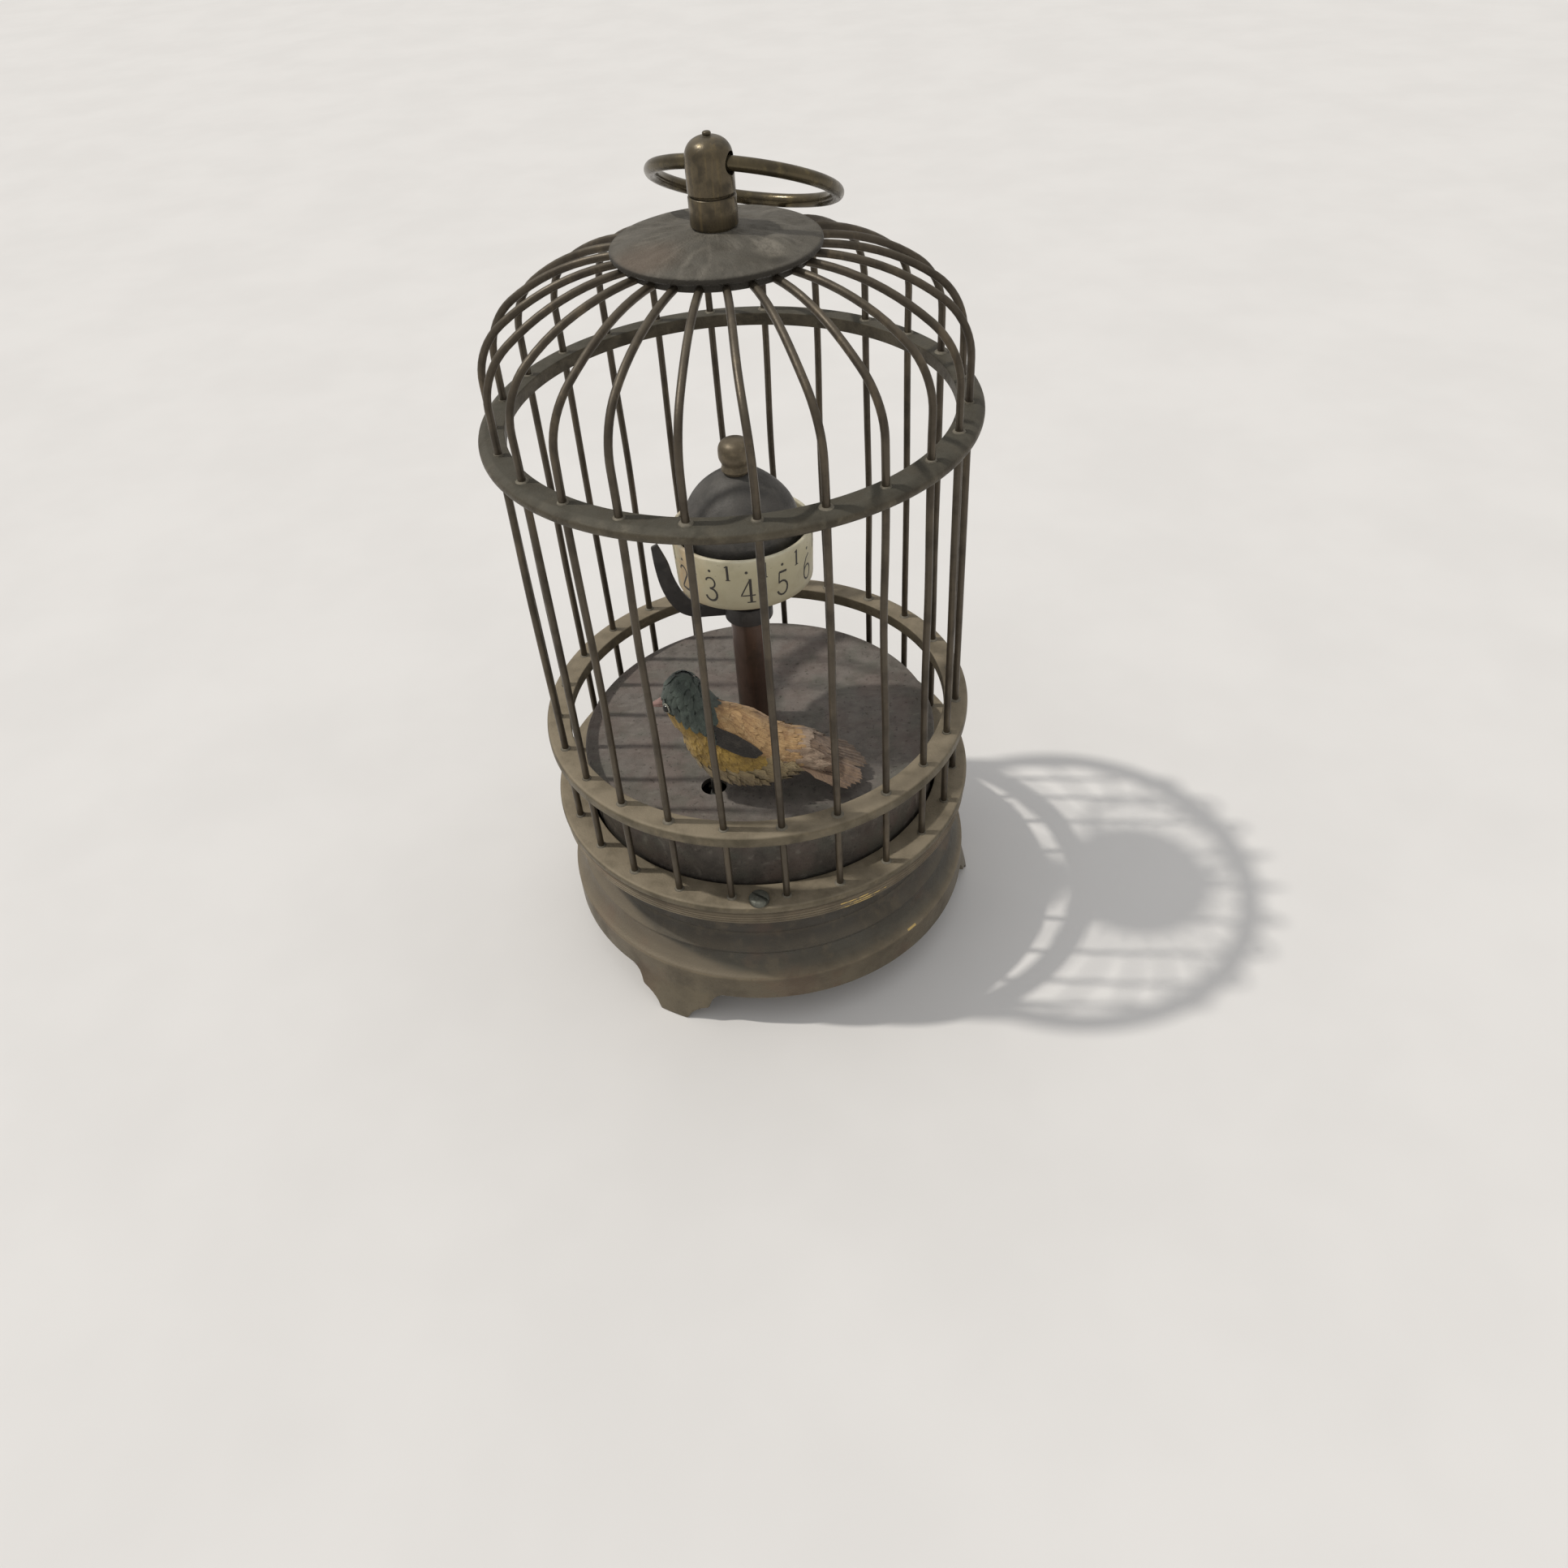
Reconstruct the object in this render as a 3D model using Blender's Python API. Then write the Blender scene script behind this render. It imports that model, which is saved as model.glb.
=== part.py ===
"""Birdcage timepiece automaton: a wire cage on a moulded base, a drum dial that
turns past a fixed pointer, and a bird that rocks with the escapement.

Sizes are in millimetres; MM turns them to metres. Z is up, the origin is the
centre of the plane under the feet, and the front of the cage faces -Y. An
azimuth of 0 points to the front and +90 to +X; gear angles count from +X.
"""

import math

import bmesh
import bpy
from mathutils import Matrix, Vector

MM = 0.001

# Clearances
GAP = 0.3
RUN = 0.35

# Base casting
BASE_HEIGHT = 38.0
CAGE_R = 46.0
DRUM_INSET = 4.6
BORE_CLEAR = 0.4
SKIRT_PROUD = 3.2
SKIRT_WALL = 3.2
SKIRT_FOOT_Z = 9.1
LEDGE_Z = (12.0, 14.0)
LEDGE_WIDTH = 5.8
FOOT_AZIMUTHS = (-27.0, 93.0, 213.0)
FOOT_FLARE = 2.0
FOOT_PROFILE = ((3.6, 0.0), (5.0, 2.4), (6.4, 3.7), (8.9, 4.7), (9.8, 6.9), (10.8, 8.3))
ARCH_END = 12.0
COVER_LAP = 3.0
COVER_THICK = 1.3
DRUM_WALL = 1.2
DRUM_EDGE = 0.8
DRUM_R = CAGE_R - DRUM_INSET
BASE_BORE_R = DRUM_R + BORE_CLEAR
SKIRT_R = CAGE_R + SKIRT_PROUD
SKIRT_BORE_R = SKIRT_R - SKIRT_WALL
LEDGE_R = BASE_BORE_R - LEDGE_WIDTH
COVER_R = LEDGE_R + COVER_LAP
COVER_Z = (LEDGE_Z[0] - GAP - COVER_THICK, LEDGE_Z[0] - GAP)

# Winding key
KEY_SPAN = 20.0
KEY_HUB_R = 3.2
KEY_HEIGHT = 8.4
KEY_CLEAR = 0.5
KEY_SOCKET_FLOOR = 2.2
KEY_WING_THICK = 1.6
KEY_Z = (COVER_Z[0] - KEY_CLEAR - KEY_HEIGHT, COVER_Z[0] - KEY_CLEAR)

# Cage
WIRE_COUNT = 24
WIRE_R = 0.75
CAGE_HEIGHT = 121.5
WIRE_TUCK = 1.9
WIRE_SEAT = 0.4
SHOULDER_R = 13.5
SHOULDER_TURN = 54.0
DOME_END_SLOPE = 4.0
MIDDLE_RING_UP = 19.5
UPPER_RING_DOWN = 11.46
FLANGE_SCREW_COUNT = 3
FLANGE_SCREW_OUT = 1.0
SCREW_HEAD_R = 2.1
SCREW_HEAD_HEIGHT = 1.2
SCREW_SLOT_WIDTH = 0.6
SCREW_SHANK_R = 0.7
SCREW_LENGTH = 4.9

# Roof, hub and carrying ring
ROOF_R = 19.2
ROOF_RIM = 1.2
ROOF_RISE = 3.6
HUB_R = 4.3
HUB_HEIGHT = 5.0
CAP_R = 4.25
CAP_WALL_HEIGHT = 5.7
CAP_DOME = 2.5
CAP_NIPPLE = 1.6
CARRY_HOLE_DOWN = 0.8
CARRY_RING_R = 17.2
CARRY_WIRE_R = 1.25
CARRY_AZIMUTH = 160.0
CARRY_DROP = 27.0

# Movement: radii and thicknesses
PLATE_THICK = 1.5
UPPER_PLATE_THICK = 1.4
UPPER_PLATE_SHAKE = 0.6
PILLAR_R = 1.8
PILLAR_TENON_R = 1.0
PILLAR_INSET = 3.6
PILLAR_ANGLES = (60.0, 180.0, 300.0)
STAFF_R = 0.9
PIVOT_R = 0.5
BEARING_R = 0.9
WINDER_R = 1.4
WINDER_UP = 3.1
SPRING_HEIGHT = 9.5
SPRING_R = (3.9, 17.0)
SPRING_TURNS = 5
SPRING_THICK = 0.5
RATCHET_R = 6.0
RATCHET_THICK = 1.2
RATCHET_TEETH = 24
CLICK_REACH = 4.0
GREAT_THICK = 1.4
GREAT_TEETH = 45
GREAT_PITCH_R = 20.0
WHEEL_THICK = 1.0
CENTRE_PINION = 6
CENTRE_TEETH = 36
CENTRE_PITCH_R = 13.0
CENTRE_ANGLE = 133.0
THIRD_PINION = 6
THIRD_TEETH = 36
THIRD_PITCH_R = 9.0
ESCAPE_PINION = 6
ESCAPE_TEETH = 15
ESCAPE_R = 7.0
PALLET_DEPTH = 2.8
TRAIN_CIRCLE_R = 22.0
BALANCE_R = 7.5
BALANCE_THICK = 1.2
BALANCE_DISTANCE = 9.0
HAIRSPRING_HEIGHT = 0.8
HAIRSPRING_R = (1.6, 6.0)
HAIRSPRING_TURNS = 5
HAIRSPRING_THICK = 0.25
COCK_THICK = 1.2
COCK_PILLAR = (0.0, -14.0)


def level(below, space, thick):
    """Foot and top of a piece that stands a space above another."""
    foot = below[1] + space
    return (foot, foot + thick)


# Movement: heights, each piece above the one before
LOWER_PLATE_Z = level(LEDGE_Z, GAP, PLATE_THICK)
SPRING_Z = level(LOWER_PLATE_Z, 1.7, SPRING_HEIGHT)
RATCHET_Z = level(SPRING_Z, 0.4, RATCHET_THICK)
GREAT_Z = level(RATCHET_Z, 0.4, GREAT_THICK)
CENTRE_Z = level(GREAT_Z, 2.6, WHEEL_THICK)
THIRD_Z = level(CENTRE_Z, 2.5, WHEEL_THICK)
ESCAPE_Z = level(THIRD_Z, 1.5, WHEEL_THICK)
COCK_Z = level(GREAT_Z, 3.6, COCK_THICK)
BALANCE_Z = level(ESCAPE_Z, 2.3, BALANCE_THICK)
HAIRSPRING_Z = level(BALANCE_Z, 0.4, HAIRSPRING_HEIGHT)
UPPER_PLATE_Z = level(HAIRSPRING_Z, 0.7, UPPER_PLATE_THICK)
WINDER_TOP_Z = GREAT_Z[1] + WINDER_UP
UPPER_PLATE_R = DRUM_R - DRUM_WALL - UPPER_PLATE_SHAKE
PILLAR_CIRCLE_R = UPPER_PLATE_R - PILLAR_INSET
CLICK_PIVOT_R = RATCHET_R + CLICK_REACH

# Drum floor
FLOOR_ROOM = 3.5
FLOOR_HOLE_R = 2.9
FLOOR_TOP_Z = UPPER_PLATE_Z[1] + FLOOR_ROOM + DRUM_WALL

# Rings and wires: places on the base
LOWER_RING_THICK = 1.9
MIDDLE_RING_THICK = 2.9
UPPER_RING_THICK = 2.8
LOWER_RING_Z = (BASE_HEIGHT + GAP, BASE_HEIGHT + GAP + LOWER_RING_THICK)
MIDDLE_RING_Z = (LOWER_RING_Z[0] + MIDDLE_RING_UP, LOWER_RING_Z[0] + MIDDLE_RING_UP + MIDDLE_RING_THICK)
WIRE_FOOT_Z = LOWER_RING_Z[0] + WIRE_SEAT
WIRE_TOP_Z = WIRE_FOOT_Z + CAGE_HEIGHT
WIRE_TOP_R = ROOF_R - WIRE_TUCK
FLANGE_SCREW_CIRCLE_R = CAGE_R + FLANGE_SCREW_OUT

# Dial
ARBOR_R = 2.2
ARBOR_FOOT_R = 6.0
ARBOR_WALL = 1.25
POST_PLAY = 0.55
POST_WALL = 1.45
POST_SPIGOT_WALL = 0.75
POST_SPIGOT_DEPTH = 2.6
POST_HEIGHT = 41.4
POST_BORE_R = ARBOR_R + POST_PLAY
POST_SPIGOT_R = POST_BORE_R + POST_SPIGOT_WALL
POST_R = POST_BORE_R + POST_WALL
POST_TOP_Z = FLOOR_TOP_Z + GAP + POST_HEIGHT
BAND_R_TOP = 15.0
BAND_FLARE = 0.45
BAND_WALL = 0.9
BAND_HEIGHT = 11.9
BAND_R_FOOT = BAND_R_TOP - BAND_FLARE
BAND_FOOT_Z = POST_TOP_Z + 0.1
BAND_TOP_Z = BAND_FOOT_Z + BAND_HEIGHT
CARRIER_THICK = 1.2
CARRIER_R = BAND_R_FOOT - BAND_WALL - RUN
CARRIER_Z = (POST_TOP_Z + GAP, POST_TOP_Z + GAP + CARRIER_THICK)
DOME_INSET = 2.9
DOME_WALL = 0.8
DOME_HEIGHT = 22.3
DOME_R = BAND_R_TOP - DOME_INSET
DOME_FOOT_Z = CARRIER_Z[1] + GAP
DOME_TOP_Z = DOME_FOOT_Z + DOME_HEIGHT
DIAL_ROD_R = 1.2
KNOB_R = 3.45
KNOB_FOOT_R = 3.15
KNOB_HEIGHT = 6.8
KNOB_CROWN = 3.5
KNOB_TOP_Z = DOME_TOP_Z + GAP + KNOB_HEIGHT
POINTER_AZIMUTH = -87.0
POINTER_THICK = 0.8
COLLAR_WALL = 0.8
COLLAR_R = POST_R + GAP + COLLAR_WALL
COLLAR_DOWN = (10.7, 6.7)
COLLAR_Z = (POST_TOP_Z - COLLAR_DOWN[0], POST_TOP_Z - COLLAR_DOWN[1])

# Bird: places are counted from the top of its wire
BIRD_X = -9.8
BIRD_Y = -22.0
BIRD_WIRE_R = 0.6
BIRD_WIRE_UP = 13.0
ROCKER_PIVOT_UP = 1.6
ROCKER_PIN_R = 0.6
ROCKER_PIN_HALF = 3.4
ROCKER_HUB_R = 1.3
TAIL_HALF = (0.4, 1.0)
FORK_SHAKE = 0.5
FORK_WALL = 0.8
EAR_GAP = 1.6
EAR_THICK = 1.2
HEAD_R = 4.8
HEAD_AT = (-3.4, 14.1)
BIRD_SPINE = (((-2.8, 12.9), 2.6, 2.6), ((-2.1, 11.1), 4.1, 4.1), ((-0.8, 8.4), 5.0, 5.1),
              ((1.6, 4.9), 6.6, 6.5), ((5.2, 1.2), 7.3, 7.2), ((10.2, -1.3), 6.7, 6.9),
              ((15.4, -2.3), 5.2, 5.7), ((20.0, -3.1), 3.4, 4.3), ((22.8, -3.9), 1.9, 3.2))
BIRD_WING = (((2.8, 5.3), 1.6, 0.9, 5.6), ((5.8, 3.8), 3.9, 1.6, 6.2), ((10.8, 0.8), 4.0, 1.6, 6.2),
             ((16.3, -1.2), 2.6, 1.2, 5.2), ((21.8, -2.9), 1.0, 0.6, 3.9))
BEAK_SECTIONS = ((0.0, 12.6, 1.2, 1.1), (1.6, 12.6, 0.8, 0.7), (3.4, 12.2, 0.2, 0.2))
TAIL_AT = (23.2, -4.0)
TAIL_TILT = 27.0
TAIL_THICK = 1.2
TAIL_OUTLINE = ((0.0, -2.4), (5.5, -3.6), (10.2, -6.6), (12.0, -6.9), (12.7, -4.6), (11.6, -1.6),
                (10.9, 0.0), (11.6, 1.6), (12.7, 4.6), (12.0, 6.9), (10.2, 6.6), (5.5, 3.6), (0.0, 2.4))
BIRD_PIVOT_Z = UPPER_PLATE_Z[1] + ROCKER_PIVOT_UP
BIRD_WIRE_TOP_Z = FLOOR_TOP_Z + BIRD_WIRE_UP
ROCKER_TAIL_Z = ESCAPE_Z[0] + 0.2


def clear_scene():
    for item in list(bpy.data.objects):
        bpy.data.objects.remove(item, do_unlink=True)


def make_material(name, colour, roughness, metallic):
    mat = bpy.data.materials.new(name)
    mat.use_nodes = True
    shader = mat.node_tree.nodes["Principled BSDF"]
    shader.inputs["Base Color"].default_value = (*colour, 1.0)
    shader.inputs["Roughness"].default_value = roughness
    shader.inputs["Metallic"].default_value = metallic
    mat.diffuse_color = (*colour, 1.0)
    return mat


clear_scene()
AGED_BRASS = make_material("aged_brass", (0.16, 0.13, 0.09), 0.5, 0.9)
BRIGHT_BRASS = make_material("bright_brass", (0.45, 0.33, 0.15), 0.35, 1.0)
COPPER_BROWN = make_material("copper_brown", (0.07, 0.035, 0.025), 0.4, 0.6)
DARK_METAL = make_material("dark_metal", (0.05, 0.05, 0.05), 0.5, 0.8)
STEEL = make_material("steel", (0.35, 0.35, 0.34), 0.35, 1.0)
CREAM_ENAMEL = make_material("cream_enamel", (0.62, 0.55, 0.38), 0.5, 0.0)
FEATHER = make_material("feather", (0.30, 0.21, 0.10), 0.9, 0.0)
HORN = make_material("horn", (0.45, 0.30, 0.24), 0.5, 0.0)


# Shape makers

def around(radius, azimuth):
    """Plan point at an azimuth from the front."""
    turn = math.radians(azimuth)
    return (radius * math.sin(turn), -radius * math.cos(turn))


def polar(radius, angle):
    """Plan point at an angle from +X."""
    turn = math.radians(angle)
    return (radius * math.cos(turn), radius * math.sin(turn))


def circle(radius, sides, centre=(0.0, 0.0), start=0.0):
    step = 360.0 / sides
    points = [polar(radius, start + step * i) for i in range(sides)]
    return [(centre[0] + x, centre[1] + y) for x, y in points]


def arc(centre, radius, start, end, steps):
    """Points of an arc in any plane, both ends included, angles in degrees."""
    points = []
    for i in range(steps + 1):
        turn = math.radians(start + (end - start) * i / steps)
        points.append((centre[0] + radius * math.cos(turn), centre[1] + radius * math.sin(turn)))
    return points


def finish(name, bm, material, crease=35.0):
    """Turn a bmesh into a named object with outward faces."""
    bmesh.ops.recalc_face_normals(bm, faces=bm.faces)
    mesh = bpy.data.meshes.new(name)
    bm.to_mesh(mesh)
    bm.free()
    mesh.shade_smooth()
    mesh.set_sharp_from_angle(angle=math.radians(crease))
    mesh.materials.append(material)
    obj = bpy.data.objects.new(name, mesh)
    bpy.context.scene.collection.objects.link(obj)
    return obj


def turned(name, outline, material, steps=48):
    """Spin a (radius, height) outline about Z; a side that lies on the axis makes no face."""
    bm = bmesh.new()
    verts = [bm.verts.new((r * MM, 0.0, z * MM)) for r, z in outline]
    pairs = zip(verts, verts[1:] + verts[:1])
    edges = [bm.edges.new(pair) for pair in pairs if pair[0].co.x > 0.0 or pair[1].co.x > 0.0]
    bmesh.ops.spin(bm, geom=verts + edges, cent=(0, 0, 0), axis=(0, 0, 1),
                   angle=math.tau, steps=steps, use_merge=True)
    bmesh.ops.remove_doubles(bm, verts=bm.verts, dist=0.001 * MM)
    return finish(name, bm, material)


def plate(name, outline, bottom, top, material, holes=()):
    """Extrude a plan outline with holes from one height to another."""
    bm = bmesh.new()
    for loop in (outline, *holes):
        verts = [bm.verts.new((x * MM, y * MM, bottom * MM)) for x, y in loop]
        for pair in zip(verts, verts[1:] + verts[:1]):
            bm.edges.new(pair)
    bmesh.ops.triangle_fill(bm, use_beauty=True, edges=bm.edges[:], normal=(0, 0, 1))
    raised = bmesh.ops.extrude_face_region(bm, geom=bm.faces[:])
    lifted = [item for item in raised["geom"] if isinstance(item, bmesh.types.BMVert)]
    bmesh.ops.translate(bm, verts=lifted, vec=(0, 0, (top - bottom) * MM))
    return finish(name, bm, material)


def loft(name, sections, material):
    """Skin closed rings of points that have the same count, with a fan at each end."""
    bm = bmesh.new()
    rings = [[bm.verts.new(Vector(point) * MM) for point in section] for section in sections]
    for ring, following in zip(rings, rings[1:]):
        count = len(ring)
        for i in range(count):
            j = (i + 1) % count
            bm.faces.new((ring[i], ring[j], following[j], following[i]))
    bm.faces.new(rings[0])
    bm.faces.new(rings[-1])
    return finish(name, bm, material)


def tube(name, points, radius, material, closed=False, resolution=1):
    """Round wire along points, as a curve with a bevel."""
    curve = bpy.data.curves.new(name, "CURVE")
    curve.dimensions = "3D"
    curve.bevel_depth = radius * MM
    curve.bevel_resolution = resolution
    curve.resolution_u = 1
    curve.render_resolution_u = 0
    curve.use_fill_caps = not closed
    spline = curve.splines.new("POLY")
    spline.points.add(len(points) - 1)
    for slot, point in zip(spline.points, points):
        slot.co = (*(Vector(point) * MM), 1.0)
    spline.use_cyclic_u = closed
    curve.materials.append(material)
    obj = bpy.data.objects.new(name, curve)
    bpy.context.scene.collection.objects.link(obj)
    return obj


def add_boolean(obj, tool, operation):
    modifier = obj.modifiers.new(tool.name, "BOOLEAN")
    modifier.operation = operation
    modifier.object = tool
    modifier.solver = "EXACT"
    tool.hide_render = True
    tool.display_type = "WIRE"


def cut(obj, *tools):
    for tool in tools:
        add_boolean(obj, tool, "DIFFERENCE")


def fuse(obj, *others):
    for other in others:
        add_boolean(obj, other, "UNION")


def drill(name, radius, bottom, top, centre=(0.0, 0.0), sides=8):
    """Cutter for a round hole; its flats lie outside the radius."""
    outer = radius / math.cos(math.pi / sides)
    return plate(name, circle(outer, sides, centre), bottom, top, STEEL)


def move(obj, at):
    obj.location = (at[0] * MM, at[1] * MM, 0.0)


def pivot(name, at, children):
    """Empty on a joint's axis that carries the pieces turning about it."""
    empty = bpy.data.objects.new(name, None)
    empty.location = Vector(at) * MM
    bpy.context.scene.collection.objects.link(empty)
    for child in children:
        child.parent = empty
        child.matrix_parent_inverse = Matrix.Translation(-Vector(at) * MM)


# Cage

def dome_sizes():
    """Wide arc's radius and start over the shoulder, and the height where the shoulder springs."""
    turn = math.radians(SHOULDER_TURN)
    lean = math.pi / 2 - turn
    end = math.radians(DOME_END_SLOPE)
    edge_r = CAGE_R - SHOULDER_R + SHOULDER_R * math.cos(turn)
    dome_r = (edge_r - WIRE_TOP_R) / (math.sin(lean) - math.sin(end))
    edge_z = WIRE_TOP_Z - dome_r * (math.cos(end) - math.cos(lean))
    return dome_r, edge_r, edge_z, edge_z - SHOULDER_R * math.sin(turn)


def wire_route():
    """Half section of a cage wire: straight, a tight shoulder, then the wide dome arc."""
    dome_r, edge_r, edge_z, spring_z = dome_sizes()
    lean = math.radians(90.0 - SHOULDER_TURN)
    points = [(CAGE_R, WIRE_FOOT_Z)]
    points += arc((CAGE_R - SHOULDER_R, spring_z), SHOULDER_R, 0.0, SHOULDER_TURN, 3)
    dome = arc((edge_r - dome_r * math.sin(lean), edge_z - dome_r * math.cos(lean)), dome_r,
               SHOULDER_TURN, 90.0 - DOME_END_SLOPE, 3)
    return points + dome[1:]


def wire_azimuths():
    step = 360.0 / WIRE_COUNT
    return [step / 2 + step * i for i in range(WIRE_COUNT)]


def make_cage_wires():
    route = [(0.0, -r, z) for r, z in wire_route()]
    first = tube("cage_wire_01", route, WIRE_R, AGED_BRASS)
    for i, azimuth in enumerate(wire_azimuths()):
        wire = first if i == 0 else bpy.data.objects.new(f"cage_wire_{i + 1:02d}", first.data)
        if i > 0:
            bpy.context.scene.collection.objects.link(wire)
        wire.rotation_euler = (0.0, 0.0, math.radians(azimuth))


def make_ring(name, outer, inner, heights, edge_width, extra_holes=()):
    """Flat ring pierced for the wires, its outer edges broken by a bevel."""
    hole_r = (WIRE_R + GAP) / math.cos(math.pi / 6)
    holes = [circle(hole_r, 6, around(CAGE_R, azimuth), azimuth) for azimuth in wire_azimuths()]
    bore = circle(inner, WIRE_COUNT)
    ring = plate(name, circle(outer, 2 * WIRE_COUNT), *heights, AGED_BRASS, (bore, *holes, *extra_holes))
    bm = bmesh.new()
    bm.from_mesh(ring.data)
    rim = (outer - 0.01) * MM
    edges = [edge for edge in bm.edges
             if all(vert.co.xy.length > rim for vert in edge.verts)
             and abs(edge.verts[0].co.z - edge.verts[1].co.z) < 0.01 * MM]
    bmesh.ops.bevel(bm, geom=edges, offset=edge_width * MM, segments=1, affect="EDGES")
    bm.to_mesh(ring.data)
    bm.free()
    ring.data.set_sharp_from_angle(angle=math.radians(35.0))
    return ring


def screw_places():
    step = 360.0 / FLANGE_SCREW_COUNT
    return [around(FLANGE_SCREW_CIRCLE_R, step * i) for i in range(FLANGE_SCREW_COUNT)]


def make_rings():
    screw_holes = [circle(SCREW_SHANK_R + RUN, 8, place) for place in screw_places()]
    make_ring("lower_ring", CAGE_R + 3.4, BASE_BORE_R + 0.4, LOWER_RING_Z, 0.5, screw_holes)
    make_ring("middle_ring", CAGE_R + 2.8, CAGE_R - 2.6, MIDDLE_RING_Z, 0.6)
    upper_foot = dome_sizes()[3] - UPPER_RING_DOWN
    make_ring("upper_ring", CAGE_R + 3.1, CAGE_R - 2.2, (upper_foot, upper_foot + UPPER_RING_THICK), 0.9)


def make_flange_screws():
    seat = LOWER_RING_Z[1] + GAP
    outline = [(0.0, seat - SCREW_LENGTH), (SCREW_SHANK_R, seat - SCREW_LENGTH), (SCREW_SHANK_R, seat),
               (SCREW_HEAD_R, seat), (SCREW_HEAD_R, seat + SCREW_HEAD_HEIGHT / 2),
               (SCREW_HEAD_R - 0.7, seat + SCREW_HEAD_HEIGHT - 0.1), (0.0, seat + SCREW_HEAD_HEIGHT)]
    half_slot = SCREW_SLOT_WIDTH / 2
    slot_reach = SCREW_HEAD_R + 0.9
    for i, place in enumerate(screw_places()):
        screw = turned(f"flange_screw_{i + 1}", outline, STEEL, steps=12)
        slot = plate(f"slot_{i + 1}", [(-half_slot, -slot_reach), (half_slot, -slot_reach),
                                       (half_slot, slot_reach), (-half_slot, slot_reach)],
                     seat + SCREW_HEAD_HEIGHT / 2, seat + SCREW_HEAD_HEIGHT + 1.8, STEEL)
        slot.rotation_euler = (0.0, 0.0, math.radians(35.0 + 50.0 * i))
        move(screw, place)
        move(slot, place)
        cut(screw, slot)


# Roof

def roof_foot_z():
    return WIRE_TOP_Z + WIRE_R + GAP + 0.1


def hub_foot_z():
    return roof_foot_z() + ROOF_RISE


def make_roof():
    foot = roof_foot_z()
    outline = [(0.0, foot), (ROOF_R - 0.3, foot), (ROOF_R, foot + 0.3), (ROOF_R, foot + ROOF_RIM),
               (ROOF_R - 0.6, foot + ROOF_RIM + 0.3)]
    outline += [(r, foot + ROOF_RIM + 0.3 + (ROOF_RISE - ROOF_RIM - 0.3) * share)
                for r, share in ((ROOF_R - 5.7, 0.45), (ROOF_R - 11.2, 0.82), (HUB_R, 1.0))]
    outline.append((0.0, hub_foot_z()))
    turned("roof_cap", outline, AGED_BRASS, steps=36)


def cap_foot_z():
    return hub_foot_z() + GAP + HUB_HEIGHT + GAP


def make_hub():
    foot = hub_foot_z() + GAP
    outline = [(0.0, foot), (HUB_R - 0.4, foot), (HUB_R, foot + 0.4), (HUB_R, foot + HUB_HEIGHT - 0.4),
               (HUB_R - 0.4, foot + HUB_HEIGHT), (0.0, foot + HUB_HEIGHT)]
    turned("hub", outline, AGED_BRASS, steps=24)


def carry_hole():
    """Centre of the cross hole and the plan direction that the ring falls to."""
    centre = Vector((0.0, 0.0, cap_foot_z() + CAP_WALL_HEIGHT - CARRY_HOLE_DOWN))
    return centre, Vector((*around(1.0, CARRY_AZIMUTH), 0.0))


def carry_sag():
    """How far the ring's wire bows over half the cap's width."""
    return CARRY_RING_R - math.sqrt(CARRY_RING_R ** 2 - CAP_R ** 2)


def make_hub_cap():
    foot = cap_foot_z()
    shoulder = foot + CAP_WALL_HEIGHT
    crown = shoulder + CAP_DOME
    outline = [(0.0, foot), (CAP_R - 0.3, foot), (CAP_R, foot + 0.3), (CAP_R, shoulder),
               (CAP_R * 0.88, shoulder + CAP_DOME * 0.48), (CAP_R * 0.55, shoulder + CAP_DOME * 0.84),
               (1.2, crown), (1.2, crown + CAP_NIPPLE * 0.6), (0.7, crown + CAP_NIPPLE),
               (0.0, crown + CAP_NIPPLE)]
    cap = turned("hub_cap", outline, AGED_BRASS, steps=24)
    hole_r = CARRY_WIRE_R + carry_sag() / 2 + GAP
    hole = drill("carry_hole", hole_r, -CAP_R - 1.0, CAP_R + 1.0, sides=12)
    centre, fall = carry_hole()
    across = Vector((0.0, 0.0, 1.0)).cross(fall)
    hole.rotation_mode = "QUATERNION"
    hole.rotation_quaternion = across.to_track_quat("Z", "Y")
    hole.location = centre * MM
    cut(cap, hole)


def make_carry_ring():
    centre, fall = carry_hole()
    across = Vector((0.0, 0.0, 1.0)).cross(fall)
    drop = math.radians(CARRY_DROP)
    down = fall * math.cos(drop) - Vector((0.0, 0.0, 1.0)) * math.sin(drop)
    middle = centre + down * (CARRY_RING_R - carry_sag() / 2)
    points = []
    sides = 32
    for i in range(sides):
        turn = math.tau * (i + 0.5) / sides
        reach = down * math.cos(turn) + across * math.sin(turn)
        points.append(middle + reach * CARRY_RING_R)
    ring = tube("carry_ring", points, CARRY_WIRE_R, AGED_BRASS, closed=True)
    pivot("carry_ring_pivot", centre, [ring])


# Dial

def make_dial_post():
    floor = FLOOR_TOP_Z + GAP
    spigot = floor - POST_SPIGOT_DEPTH
    outline = [(POST_BORE_R, spigot), (POST_SPIGOT_R, spigot), (POST_SPIGOT_R, floor),
               (POST_R, floor), (POST_R, POST_TOP_Z), (POST_BORE_R, POST_TOP_Z)]
    turned("dial_post", outline, COPPER_BROWN, steps=24)


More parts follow.
